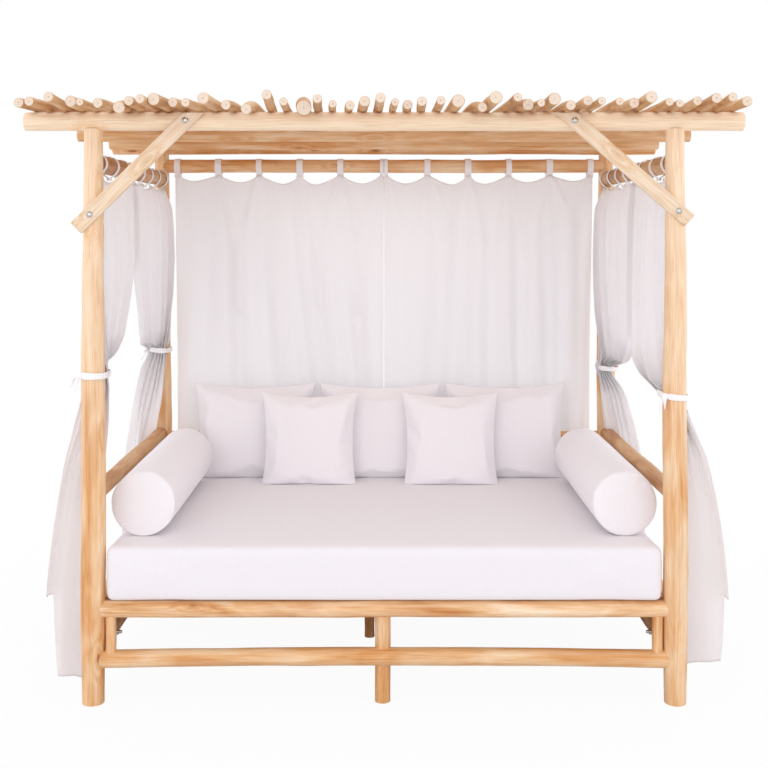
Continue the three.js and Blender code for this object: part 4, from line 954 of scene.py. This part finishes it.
def bolster_mesh(radius, length, seed):
    """A roll along Y, of rings closed by a small flat cap at each end."""
    stations = [(place * radius, share * radius) for place, share in BOLSTER_ENDS]
    middle = [(radius * 0.2 + (length - radius * 0.4) * i / 40, radius) for i in range(41)]
    stations += middle + [(length - place, share) for place, share in reversed(stations)]
    form = bmesh.new()
    rings = []
    for place, size in stations:
        ring = []
        for i in range(BOLSTER_ROUND):
            turn = 2 * math.pi * i / BOLSTER_ROUND
            uneven = 1 + 0.008 * noise.noise((math.cos(turn), math.sin(turn), place * 6 + seed))
            spot = (size * uneven * math.cos(turn), place, size * uneven * math.sin(turn))
            ring.append(form.verts.new(spot))
        rings.append(ring)
    for lower, upper in zip(rings, rings[1:]):
        for i in range(BOLSTER_ROUND):
            j = (i + 1) % BOLSTER_ROUND
            form.faces.new((lower[i], upper[i], upper[j], lower[j]))
    form.faces.new(rings[0])
    form.faces.new(reversed(rings[-1]))
    return mesh_of(form, "bolster", outward=True)


for seed, side in enumerate(("left", "right")):
    low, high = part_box(side + "_bolster")
    radius, length = (high.x - low.x) / 2, high.y - low.y
    mesh = bolster_mesh(radius * 0.98, length * 0.985, seed * 7.0)
    places = blown_up(mesh, pressure=3, cap=0.004, slack=0.015)
    plump = np.array((0.003, 0.008, 0.004))  # the cloth swells past the solid by a few millimetres
    round_low = np.array((low.x, low.y, high.z - 2 * radius)) - plump
    places = fitted(places, round_low, np.array((high.x, high.y, high.z)) + plump)
    places[:, 2] = np.maximum(places[:, 2], LOWEST)
    set_coordinates(mesh, places)
    node = side + "_bolster"
    soft_piece(node + "_cover", mesh, node, node + "_body", "cushion_cover", canvas)
print("two bolsters", round(length, 2), "m long")

# %% [markdown]
# ## Mattress
# The mattress is a foam block in a fitted cover. Its faces are nearly flat, its edges are rounded, and
# a seam runs round it just under the top face and above the bottom one. The block is a grid over a
# rounded box. A light simulation loosens it, and the seams are pressed in after that.

# %% Mattress cover
SEAM_DEPTH, SEAM_WIDTH = 0.0022, 0.004
SEAM_SHARES = (0.1, 0.9)  # of the height
MATTRESS_EDGE = 0.026
SIDE_FACES = (0.85, 0.5)  # points that lie further than this from the middle, along X or Y, are on a side


def rounded_box_mesh(low, high, edge, cell=0.02):
    """A box with rounded edges and corners, as a closed grid of quads that is finer near its edges."""
    size = np.array(high) - low
    counts = [max(6, round(s / cell)) for s in size]
    form = bmesh.new()
    bmesh.ops.create_cube(form, size=2.0)
    for axis in range(3):
        for i in range(1, counts[axis]):
            plane = [0.0, 0.0, 0.0]
            even = 2 * i / counts[axis] - 1
            wide = even + 0.012 * math.sin(math.pi * even)
            plane[axis] = wide if axis < 2 else math.sin(even * 1.3) / math.sin(1.3)
            normal = [float(k == axis) for k in range(3)]
            everything = form.verts[:] + form.edges[:] + form.faces[:]
            bmesh.ops.bisect_plane(form, geom=everything, plane_co=plane, plane_no=normal, dist=1e-6)
    half = size / 2
    middle = np.array(low) + half
    for vert in form.verts:
        place = np.array(vert.co) * half
        core = np.clip(place, -(half - edge), half - edge)
        away = place - core
        if np.count_nonzero(np.abs(away) > 1e-9) > 1:  # on an edge or a corner
            reach = np.linalg.norm(away)
            place = core + away / reach * min(reach, edge)
        vert.co = Vector(place + middle)
    return mesh_of(form, "mattress")


low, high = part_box("mattress")
mesh = rounded_box_mesh(np.array(low) + (0, 0, 0.0005), np.array(high), MATTRESS_EDGE)
places = coordinates(mesh)
box_low, box_high = places.min(0), places.max(0)
places = np.clip(blown_up(mesh, pressure=0.6, cap=0.004, slack=0.01), box_low, box_high)
side_share = (places[:, 2] - box_low[2]) / (box_high[2] - box_low[2])
middle = (box_low + box_high) / 2
for seam in SEAM_SHARES:
    press = SEAM_DEPTH * np.exp(-(((side_share - seam) * (box_high[2] - box_low[2]) / SEAM_WIDTH) ** 2))
    for axis, reach in enumerate(SIDE_FACES):
        away = places[:, axis] - middle[axis]
        places[:, axis] -= np.sign(away) * press * (np.abs(away) > reach)
places[:, 2] = np.clip(places[:, 2], box_low[2], box_high[2])
set_coordinates(mesh, places)
soft_piece("mattress_cover", mesh, "mattress", "mattress_body", "mattress_cover", foam_cover)
print("mattress", len(mesh.vertices), "points")

# %% [markdown]
# ## Curtains
# Six panels of light cotton hang from cloth tabs sewn to their top edges. A panel is one sheet, drawn
# as a grid: one direction runs across the cloth, the other down it. Rows of the grid are folded
# sections, and the section changes smoothly on the way down: drawn out under the rail, squeezed to a
# bundle at the tie, and fanned out below it. A thin Solidify gives the cloth its two faces.

# %% Folded sheets
def smooth_between(levels, height):
    """A level's numbers at any height: a smooth curve through the levels, which run downwards."""
    heights = [level[0] for level in levels]
    height = min(max(height, heights[-1]), heights[0])
    i = next(k for k in range(len(levels) - 1) if height >= heights[k + 1])
    share = (heights[i] - height) / (heights[i] - heights[i + 1])
    before, after = levels[max(i - 1, 0)], levels[min(i + 2, len(levels) - 1)]
    values = []
    for a, b, c, d in zip(before[1:], levels[i][1:], levels[i + 1][1:], after[1:]):
        start, end = (c - a) / 2, (d - b) / 2
        values.append(
            (2 * share**3 - 3 * share**2 + 1) * b + (share**3 - 2 * share**2 + share) * start
            + (3 * share**2 - 2 * share**3) * c + (share**3 - share**2) * end)
    return values


CLOTH = 0.0016  # thickness
TAB_WIDTH, LEAD_TAB_WIDTH = 0.027, 0.0165
TAB_GAP = 0.0008  # between a tab and its rail
TAB_FOOT = 0.010  # so far a tab reaches down on its panel


def signs(name):
    """-1 or 1 for left or right, and for front or rear."""
    return (-1 if "left" in name else 1), (-1 if "front" in name else 1)


def kept_in(share):
    return min(1.0, max(0.0, share))


def sheet_object(name, places, columns, rows):
    """A grid of places as a sheet with two faces. Places run across first, then down."""
    faces = []
    for row in range(rows):
        for column in range(columns):
            a = row * (columns + 1) + column
            faces.append((a, a + columns + 1, a + columns + 2, a + 1))
    mesh = bpy.data.meshes.new(name)
    mesh.from_pydata([tuple(p) for p in places], [], faces)
    across = mesh.uv_layers.new(name="cloth")
    for loop in mesh.loops:
        across.data[loop.index].uv = (loop.vertex_index % (columns + 1) / columns,
                                      loop.vertex_index // (columns + 1) / rows)
    mesh.shade_smooth()
    piece = linked(name, mesh, voile)
    solid = piece.modifiers.new("thickness", "SOLIDIFY")
    solid.thickness, solid.offset = CLOTH, 0
    return piece


def tabs_object(name, centres, along, radius, foot, width=TAB_WIDTH):
    """Cloth tabs over a rail: flat strips that go up one face, round the rail and down the other."""
    form = bmesh.new()
    for number, centre in enumerate(centres):
        inner, drop = radius + TAB_GAP, centre[2] - foot
        turns = [math.radians(-38) + math.radians(256) * i / 24 for i in range(25)]
        path = [(inner * math.cos(turn), inner * math.sin(turn)) for turn in turns]
        neck = [(0.0035, -drop), (0.0045, -drop * 0.8), (inner * 0.55, -inner * 0.92)]
        path = neck + path + [(-x, z) for x, z in reversed(neck)]
        half = width / 2 * (1 + 0.08 * math.sin(number * 2.4))
        rings = []
        for i, (out, up) in enumerate(path):
            ahead = path[min(i + 1, len(path) - 1)]
            behind = path[max(i - 1, 0)]
            slope = Vector((ahead[0] - behind[0], ahead[1] - behind[1])).normalized()
            spread = half * (1 + 0.25 * max(0.0, (-up - inner) / max(drop - inner, 1e-6)) ** 2)
            ring = []
            for side, off in ((-1, 0), (1, 0), (1, 1), (-1, 1)):
                x = out + slope.y * CLOTH * off
                z = up - slope.x * CLOTH * off
                if along == "x":
                    place = (centre[0] + side * spread, centre[1] + x, centre[2] + z)
                else:
                    place = (centre[0] + x, centre[1] + side * spread, centre[2] + z)
                ring.append(form.verts.new(place))
            rings.append(ring)
        join_rings(form, rings)
    return linked(name, mesh_of(form, name, outward=True), tape)


def scalloped(position, spots, depth):
    """How far the top edge hangs at a position between two tabs."""
    ordered = sorted(spots)
    for a, b in zip(ordered, ordered[1:]):
        if a <= position <= b:
            share = (position - a) / (b - a)
            lively = 0.85 + 0.2 * math.sin(a * 40)
            lean = share + 0.12 * math.sin(a * 23) * share * (1 - share) * 4
            return depth * lively * (1 - abs(2 * lean - 1) ** 1.8)
    nearest = min(abs(position - s) for s in ordered)
    return depth * min(1.0, nearest / 0.04) * 0.3


print("cloth", CLOTH * 1000, "mm, tabs", TAB_WIDTH * 1000, "mm wide")

# %% [markdown]
# ## Rear curtains
# Two panels close the back and part in the middle. Each has six tabs. Cloth that hangs from tabs sags
# between them: two soft creases leave each tab and meet those of its neighbours in a V, and a fold runs
# down from there. The leading tab rides on a body of its own, which slides along the rail when a curtain
# is drawn; the panel keeps the shape it is given here.

# %% Rear panels
REAR_LOOPS = 6
REAR_TOP, REAR_HEM, REAR_SCALLOP = 1.854, 0.042, 0.040
REAR_INNER, REAR_OUTER = 0.0003, 0.930
REAR_FIRST, REAR_SPAN = 0.0123, 0.906  # the first tab's place, and from there to the last tab
REAR_LEAD = 0.0095  # the lead tab's place, which is narrower and stands clear of the other panel's
REAR_RAIL = 1.893, 0.031  # its height and its radius
REAR_BACK = 0.058  # the cloth hangs this far behind the rail, to clear the back rail


def ridge(distance, width):
    return math.exp(-((distance / width) ** 2))


def tab_creases(across, below, spots, seed):
    """Depth of the creases that run from the tabs to the V between each two of them."""
    depth = 0.0
    for number, spot in enumerate(spots):
        depth += 0.009 * ridge(across - spot, 0.012 + 0.05 * below) * math.exp(-below / 0.5)
        for step in (-1, 1):
            other = number + step
            if not 0 <= other < len(spots):
                continue
            chance = 0.5 + 0.5 * math.sin(seed * 5.1 + number * 2.7 + step)
            meeting = 0.16 + 0.30 * (0.5 + 0.5 * math.sin(seed + 1.9 * min(number, other)))
            run = min(1.0, below / meeting)
            line = spot + (spots[other] - spot) * (0.06 + 0.40 * run)
            fade = math.exp(-max(0.0, below - meeting) / 0.45)
            depth += (0.004 + 0.009 * chance) * ridge(across - line, 0.010 + 0.022 * run) * fade
    return depth


def rear_panel(side, sign):
    columns, rows = 260, 120
    spots = [REAR_FIRST + REAR_SPAN * i / (REAR_LOOPS - 1) for i in range(REAR_LOOPS)]
    places = []
    for row in range(rows + 1):
        down = (row / rows) ** 1.15
        for column in range(columns + 1):
            inner = REAR_INNER + 0.0022 * min(1.0, row / rows * 5)
            across = inner + (REAR_OUTER - inner) * column / columns
            top = REAR_TOP - scalloped(across, spots, REAR_SCALLOP)
            z = top + (REAR_HEM - top) * down
            below = REAR_TOP - z
            lag = noise.noise((across * 1.3, below * 0.5, 3.0 + 4 * sign)) * 1.1
            phase = 2 * math.pi * (across * 5.5 + lag)
            grows = kept_in((below - 0.1) / 0.5)
            fold = 0.013 * grows * (math.sin(phase) + 0.45 * math.sin(2.3 * phase + 1.0))
            fold += 0.006 * grows * noise.noise((across * 12, below * 0.5, sign))
            fold -= tab_creases(across, below, spots, 2.0 + sign)
            y = POST_Y + REAR_BACK * kept_in((1.786 - z) / 0.75) + fold + 0.006
            if below > 0.56:  # room for a lifted cushion, and lower down for the rear post's rails
                inward = 0.012 * kept_in((1.1 - below) / 0.3) + 0.06 * kept_in((0.62 - below) / 0.06)
                y = max(y, 0.641 - inward)
            places.append((sign * across, y, z))
    piece = sheet_object(f"back_{side}_curtain_cloth", places, columns, rows)
    height, radius = REAR_RAIL
    centres, foot = [(sign * spot, POST_Y, height) for spot in spots[1:]], REAR_TOP - TAB_FOOT
    tabs = tabs_object(f"back_{side}_curtain_tabs", centres, "x", radius, foot)
    centres = [(sign * REAR_LEAD, POST_Y, height)]
    lead = tabs_object(f"back_{side}_lead_tab", centres, "x", radius, foot, LEAD_TAB_WIDTH)
    settle(piece, "curtain_cloth", f"rear_{side}_curtain")
    settle(tabs, "curtain_cloth")
    settle(lead, "curtain_cloth", f"rear_{side}_lead_loop", body=f"{side}_curtain_lead")
    for part in (piece, tabs):
        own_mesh(part)


for side, sign in (("left", -1), ("right", 1)):
    rear_panel(side, sign)
print("two rear panels,", REAR_LOOPS, "tabs each")

# %% [markdown]
# ## Side curtains
# Four panels hang from the side rails and are tied back to the four posts. They are not mirror images:
# each was gathered and tied by hand, at its own height. A table gives three points of each panel's
# section at a few heights: its post edge, a place two thirds across, and its free edge. Out is the
# distance from the middle plane across the daybed, and along is the distance from the middle plane
# towards the panel's post. Above a tie the cloth hangs over it a little. Below it the free edge folds
# back over the rest, so its hem hangs higher.

# %% Side panels
SIDE_TOP, SIDE_SCALLOP = 1.795, 0.020
SIDE_RAIL = 0.990, 1.836, 0.033  # its distance from the middle plane, its height and its radius
TIES = {"left_front": 1.114, "left_rear": 1.082, "right_front": 1.042, "right_rear": 1.000}
MIDDLE_SHARE = 0.6  # of the panel's width, where the middle point of a section is

# Height, then out and along of the post edge, the middle and the free edge, then half the fold depth
SECTIONS = {
    "left_front": [
        (1.796, 0.990, 0.578, 0.990, 0.30, 0.990, -0.006, 0.007),
        (1.660, 0.990, 0.578, 0.988, 0.30, 0.988, -0.015, 0.014),
        (1.500, 0.988, 0.578, 0.985, 0.31, 0.995, -0.015, 0.018),
        (1.440, 0.985, 0.578, 0.985, 0.32, 0.997, 0.000, 0.018),
        (1.330, 0.975, 0.577, 0.985, 0.39, 0.985, 0.110, 0.018),
        (1.220, 0.962, 0.572, 0.985, 0.46, 0.972, 0.270, 0.018),
        (1.165, 0.950, 0.562, 0.985, 0.51, 0.975, 0.420, 0.018),
        (1.130, 0.952, 0.548, 0.987, 0.54, 1.015, 0.520, 0.017),
        (1.100, 0.952, 0.540, 0.987, 0.54, 1.022, 0.540, 0.016),
        (1.050, 0.950, 0.535, 0.998, 0.54, 1.040, 0.550, 0.011),
        (0.950, 0.950, 0.530, 1.020, 0.52, 1.062, 0.570, 0.008),
        (0.800, 0.967, 0.520, 1.066, 0.52, 1.100, 0.580, 0.007),
        (0.600, 0.980, 0.520, 1.098, 0.53, 1.130, 0.600, 0.007),
        (0.360, 0.985, 0.520, 1.126, 0.54, 1.152, 0.615, 0.007),
        (0.030, 1.000, 0.530, 1.128, 0.54, 1.146, 0.615, 0.007),
    ],
    "right_front": [
        (1.796, 0.990, 0.578, 0.990, 0.30, 0.990, -0.006, 0.007),
        (1.660, 0.995, 0.578, 0.988, 0.30, 0.985, -0.012, 0.014),
        (1.450, 1.010, 0.575, 0.985, 0.30, 0.985, -0.012, 0.019),
        (1.300, 1.030, 0.570, 0.985, 0.32, 0.985, -0.012, 0.022),
        (1.180, 1.040, 0.565, 0.980, 0.36, 0.985, 0.000, 0.024),
        (1.120, 1.040, 0.560, 0.975, 0.42, 0.972, 0.080, 0.024),
        (1.080, 1.035, 0.556, 0.972, 0.48, 0.966, 0.250, 0.022),
        (1.060, 1.028, 0.552, 0.980, 0.53, 0.960, 0.450, 0.019),
        (1.042, 1.022, 0.545, 0.988, 0.54, 0.955, 0.530, 0.016),
        (1.025, 1.022, 0.545, 0.990, 0.54, 0.960, 0.535, 0.016),
        (0.980, 1.000, 0.560, 1.035, 0.54, 1.030, 0.560, 0.011),
        (0.833, 0.995, 0.550, 1.082, 0.54, 1.100, 0.590, 0.007),
        (0.620, 0.995, 0.540, 1.128, 0.54, 1.142, 0.610, 0.007),
        (0.380, 1.000, 0.530, 1.158, 0.54, 1.166, 0.620, 0.007),
        (0.150, 1.005, 0.530, 1.160, 0.54, 1.168, 0.620, 0.007),
        (0.080, 1.005, 0.530, 1.158, 0.54, 1.166, 0.620, 0.007),
    ],
    "left_rear": [
        (1.796, 0.972, 0.560, 0.985, 0.30, 0.985, -0.030, 0.007),
        (1.700, 0.938, 0.535, 0.972, 0.30, 0.978, -0.035, 0.014),
        (1.500, 0.930, 0.530, 0.970, 0.30, 0.980, -0.030, 0.018),
        (1.440, 0.930, 0.530, 0.975, 0.31, 0.985, 0.000, 0.018),
        (1.300, 0.934, 0.532, 0.985, 0.37, 1.000, 0.120, 0.018),
        (1.170, 0.942, 0.536, 1.000, 0.44, 1.020, 0.260, 0.014),
        (1.120, 0.948, 0.538, 1.008, 0.49, 1.040, 0.360, 0.012),
        (1.095, 0.956, 0.540, 1.005, 0.53, 1.045, 0.500, 0.010),
        (1.065, 0.960, 0.540, 1.004, 0.54, 1.042, 0.536, 0.009),
        (1.000, 0.966, 0.540, 1.020, 0.52, 1.068, 0.520, 0.009),
        (0.860, 0.980, 0.545, 1.045, 0.49, 1.090, 0.510, 0.014),
        (0.740, 1.005, 0.550, 1.062, 0.48, 1.105, 0.500, 0.016),
        (0.600, 1.020, 0.555, 1.075, 0.47, 1.122, 0.490, 0.018),
        (0.300, 1.030, 0.560, 1.080, 0.47, 1.130, 0.480, 0.018),
        (0.050, 1.030, 0.560, 1.080, 0.47, 1.130, 0.480, 0.018),
    ],
    "right_rear": [
        (1.796, 0.972, 0.560, 0.985, 0.30, 0.985, -0.030, 0.007),
        (1.700, 0.936, 0.535, 0.972, 0.30, 0.978, -0.035, 0.014),
        (1.450, 0.934, 0.530, 0.970, 0.30, 0.978, -0.035, 0.019),
        (1.250, 0.938, 0.530, 0.985, 0.30, 0.980, -0.030, 0.022),
        (1.150, 0.945, 0.532, 1.000, 0.33, 0.988, 0.000, 0.024),
        (1.090, 0.945, 0.535, 1.010, 0.39, 1.000, 0.150, 0.018),
        (1.045, 0.944, 0.537, 1.012, 0.45, 1.012, 0.300, 0.014),
        (1.020, 0.940, 0.538, 0.985, 0.52, 1.010, 0.460, 0.012),
        (0.995, 0.938, 0.540, 0.970, 0.54, 1.000, 0.535, 0.009),
        (0.975, 0.945, 0.540, 0.980, 0.54, 1.008, 0.535, 0.009),
        (0.920, 0.955, 0.540, 1.005, 0.52, 1.042, 0.520, 0.009),
        (0.870, 0.960, 0.545, 1.020, 0.50, 1.062, 0.510, 0.008),
        (0.770, 0.975, 0.550, 1.040, 0.49, 1.085, 0.500, 0.014),
        (0.610, 1.000, 0.555, 1.065, 0.48, 1.115, 0.490, 0.017),
        (0.300, 1.020, 0.560, 1.075, 0.47, 1.125, 0.480, 0.018),
        (0.050, 1.020, 0.560, 1.075, 0.47, 1.125, 0.480, 0.018),
    ],
}
LOW_HEMS = {"left_front": 0.045, "left_rear": 0.06, "right_front": 0.095, "right_rear": 0.06}
HIGH_HEMS = {"left_front": 0.357, "left_rear": 0.20, "right_front": 0.350, "right_rear": 0.20}


def through_three(first, middle, last, share):
    """Place and direction on the parabola through a section's three points."""
    m = MIDDLE_SHARE
    weights = ((share - m) * (share - 1) / m, share * (share - 1) / (m * (m - 1)),
               share * (share - m) / (1 - m))
    slopes = ((2 * share - m - 1) / m, (2 * share - 1) / (m * (m - 1)), (2 * share - m) / (1 - m))
    place = first * weights[0] + middle * weights[1] + last * weights[2]
    return place, first * slopes[0] + middle * slopes[1] + last * slopes[2]


def side_panel(name, folds, seed):
    side, end = signs(name)
    columns, rows = 200, 150
    levels, tie = SECTIONS[name], TIES[name]
    near, far = 0.551, 0.026 if end < 0 else 0.074
    spots = [near + (far - near) * i / 3 for i in range(4)]
    sections = {}
    places = []
    for row in range(rows + 1):
        for column in range(columns + 1):
            u = column / columns
            along = levels[0][2] + (levels[0][6] - levels[0][2]) * u
            top = SIDE_TOP - scalloped(along, spots, SIDE_SCALLOP)
            step = kept_in((u - 0.60) / 0.09)
            rise = (HIGH_HEMS[name] - LOW_HEMS[name] - 0.03) * (3 - 2 * step) * step**2
            hem = LOW_HEMS[name] + 0.035 * u + rise
            z = top + (hem - top) * row / rows
            key = round(z, 3)
            if key not in sections:
                sections[key] = smooth_between(levels, key)
            *points, depth = sections[key]
            ends = [Vector(points[i : i + 2]) for i in (0, 2, 4)]
            warp = u + 0.03 * noise.noise((u * 5, z * 0.8, seed)) + 0.01 * noise.noise((u * 3, z * 3, seed))
            phase = 2 * math.pi * folds * warp
            opened = kept_in((tie - z - 0.05) / 0.35)  # below the tie, pleats merge to broad folds
            fold = (1 - 0.94 * opened) * math.sin(phase) + 0.95 * opened * math.sin(0.36 * phase + seed)
            fold += (1 - opened) * (0.35 * math.sin(1.7 * phase + seed) + 0.2 * math.sin(3.3 * phase + 2 * z))
            gathered = math.exp(-(((z - tie) / 0.16) ** 2))
            fold += 0.25 * gathered * math.sin(5.2 * phase + seed)
            place, ahead = through_three(*ends, u)
            across = Vector((-ahead.y, ahead.x)).normalized() if ahead.length > 1e-6 else Vector((1, 0))
            place = place + across * fold * depth
            places.append((side * place.x, end * place.y, z))
    piece = sheet_object(name + "_curtain_cloth", places, columns, rows)
    out, height, radius = SIDE_RAIL
    centres = [(side * out, end * spot, height) for spot in spots]
    tabs = tabs_object(name + "_curtain_tabs", centres, "y", radius, SIDE_TOP - TAB_FOOT)
    settle(piece, "curtain_cloth", name + "_curtain")
    settle(tabs, "curtain_cloth")


for seed, name in enumerate(SECTIONS):
    side_panel(name, 6, 1.0 + seed)
print("four side panels tied at", TIES)

# %% [markdown]
# ## Ties
# A strip of the same cloth goes round each post and the gathered curtain, and is knotted. It is drawn
# as a band that follows the post and the bundle, a little bunched, with a knot and two short tails.

# %% Tie bands
TIE_THICKNESS = 0.003


def ribbon(form, path, widths, seed, thick=0.0022):
    """A soft flat strip along a path of places, closed at both ends."""
    section = [(-1, -0.6), (0, -1), (1, -0.6), (1, 0.6), (0, 1), (-1, 0.6)]
    rings = []
    for i, place in enumerate(path):
        ahead = (path[min(i + 1, len(path) - 1)] - path[max(i - 1, 0)]).normalized()
        flat = ahead.cross(Vector((math.sin(seed + i * 0.5), math.cos(seed + i * 0.5), 0.2))).normalized()
        out = ahead.cross(flat).normalized()
        rings.append([form.verts.new(place + flat * a * widths[i] / 2 + out * b * thick) for a, b in section])
    join_rings(form, rings)


def tie_band(name, slant, knot, tails, seed):
    """Knot is the knot's angle round the post. Each tail is (out, along, down) from it."""
    side, end = signs(name)
    low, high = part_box(name + "_tie")
    radius = (high.x - low.x) / 2 - TIE_THICKNESS
    reach = (high.y - low.y) - 2 * radius - 2 * TIE_THICKNESS
    centre = Vector((side * SIDE_RAIL[0], end * POST_Y, TIES[name]))
    arc = [(radius * math.cos(math.pi * i / 16), radius * math.sin(math.pi * i / 16)) for i in range(17)]
    path = arc + [(-radius, -reach * i / 6) for i in range(1, 6)]
    path += [(-x, -y - reach) for x, y in arc] + [(radius, -reach + reach * i / 6) for i in range(1, 6)]
    form = bmesh.new()
    section = [(0.0004, -0.0105), (0.0032, -0.0115), (0.0052, -0.005), (0.0040, 0.0005), (0.0056, 0.006),
               (0.0030, 0.0115), (0.0004, 0.0105)]
    rings = []
    for i, (x, y) in enumerate(path):
        ahead, behind = path[(i + 1) % len(path)], path[i - 1]
        normal = Vector((ahead[1] - behind[1], behind[0] - ahead[0])).normalized()
        ring = []
        for off, up in section:
            uneven = 1 + 0.5 * noise.noise((x * 60, y * 60, up * 120 + seed))
            place = (x + normal.x * off * uneven, y + normal.y * off * uneven)
            rise = up * (1 + 0.3 * noise.noise((x * 30, y * 30, seed))) + slant * x
            ring.append(form.verts.new(centre + Vector((side * place[0], end * place[1], rise))))
        rings.append(ring)
    join_rings(form, rings, closed=True)
    turn = math.radians(knot)
    off = radius + 0.006
    spot = centre + Vector((side * off * math.cos(turn), end * off * math.sin(turn), 0))
    spot.z += slant * radius * math.cos(turn)
    lump = bmesh.ops.create_icosphere(form, subdivisions=2, radius=1.0)["verts"]
    for vert in lump:
        uneven = 1 + 0.25 * noise.noise(vert.co * 1.7 + Vector((seed, 0, 0)))
        vert.co = spot + Vector((vert.co.x * 0.012, vert.co.y * 0.009, vert.co.z * 0.012)) * uneven
    for number, (out, along, down) in enumerate(tails):
        places = []
        for i in range(7):
            t = i / 6
            drop = -down * t**1.5 + 0.006 * math.sin(3 * t)
            places.append(spot + Vector((side * out * t, end * along * t, drop)))
        widths = [0.009 + 0.006 * math.sin(math.pi * min(1, i / 5)) for i in range(7)]
        ribbon(form, places, widths, seed + number)
    mesh = mesh_of(form, name + "_tie_band", smooth=True, outward=True)
    settle(subdivided(linked(name + "_tie_band", mesh, tape)), "curtain_cloth", name + "_tie")


tie_band("left_front", 0.03, 30, [(0.030, 0.010, 0.040), (0.012, 0.020, 0.055)], 0)
tie_band("right_front", -0.10, 150, [(-0.020, 0.010, 0.055), (-0.005, 0.020, 0.045)], 1)
tie_band("left_rear", 0.10, -35, [(0.045, -0.02, 0.055), (0.035, -0.02, 0.020)], 2)
tie_band("right_rear", -0.06, -120, [(-0.015, -0.02, 0.030), (-0.020, -0.01, 0.012)], 3)
print(len(TIES), "ties")

# %% [markdown]
# ## Studio
# The photograph is a cut-out on white. A pale floor and a plain white surround stand for it: the camera
# sees them white, while the object gets its light from large soft lamps and a dim even sky. The floor
# keeps the object's soft shadow.

# %% Floor, sky and lamps
FLOOR_HALF = 30.0


def studio_floor():
    material, tree, shader = new_material("white_studio_floor")
    connect(tree, shader, {"Base Color": linear("#e6e6e6"), "Roughness": 0.9})
    glow = add(tree, "ShaderNodeEmission", {"Color": (1, 1, 1, 1), "Strength": 1.0})
    paths = add(tree, "ShaderNodeLightPath").outputs
    place = add(tree, "ShaderNodeTexCoord").outputs["Object"]
    away = length_of(tree, place)
    fade = ranged(tree, away, 1.2, 3.5, start=0.95)  # the shadow fades out between these distances
    seen = maths(tree, "MULTIPLY", paths["Is Camera Ray"], fade)
    mix = add(tree, "ShaderNodeMixShader", {0: seen, 1: shader.outputs[0], 2: glow.outputs[0]})
    tree.links.new(mix.outputs[0], tree.nodes["Material Output"].inputs["Surface"])
    mesh = bpy.data.meshes.new("studio_floor")
    corners = [(x * FLOOR_HALF, y * FLOOR_HALF, 0) for x, y in ((-1, -1), (1, -1), (1, 1), (-1, 1))]
    mesh.from_pydata(corners, [], [(0, 1, 2, 3)])
    linked("studio_floor", mesh, material)


def white_world(level):
    world = bpy.data.worlds.new("white_surround")
    world.use_nodes = True
    tree = world.node_tree
    tree.nodes.clear()
    paths = add(tree, "ShaderNodeLightPath").outputs
    seen = maths(tree, "MAXIMUM", paths["Is Camera Ray"], paths["Is Glossy Ray"])
    seen = maths(tree, "MAXIMUM", seen, paths["Is Transmission Ray"])
    soft = add(tree, "ShaderNodeBackground", {"Color": linear("#fdfbff"), "Strength": level})
    white = add(tree, "ShaderNodeBackground", {"Color": (1, 1, 1, 1), "Strength": 1.0})
    mix = add(tree, "ShaderNodeMixShader", {0: seen, 1: soft.outputs[0], 2: white.outputs[0]})
    add(tree, "ShaderNodeOutputWorld", {"Surface": mix.outputs[0]})
    scene.world = world


def lamp(name, place, target, size, watts, colour="#ffffff"):
    data = bpy.data.lights.new(name, "AREA")
    data.shape, data.size, data.energy, data.color = "SQUARE", size, watts, linear(colour)[:3]
    light = bpy.data.objects.new(name, data)
    light.location = place
    light.visible_camera = False
    light.rotation_euler = (Vector(target) - Vector(place)).to_track_quat("-Z", "Y").to_euler()
    scene.collection.objects.link(light)


studio_floor()
white_world(1.05)
lamp("key", (-4.5, -12, 2.4), (0, 0, 1.0), 7.0, 200)
lamp("fill", (5.0, -12, 2.0), (0, 0, 1.0), 7.0, 140)
lamp("overhead", (0, 0.2, 5.2), (0, 0, 0), 3.0, 15)
lamp("under_roof", (0, -0.05, 1.8), (0, -0.05, 0), 1.1, 0.9)
for side in (-1, 1):
    lamp(f"behind_{side}", (7 * side, 6, 1.5), (0, 0, 1.0), 4.0, 25)
    lamp(f"beside_{side}", (8 * side, 1.8, 1.2), (0, 0, 1.0), 4.0, 75)
scene.view_settings.view_transform = "Standard"
print("eight lamps and a white surround")
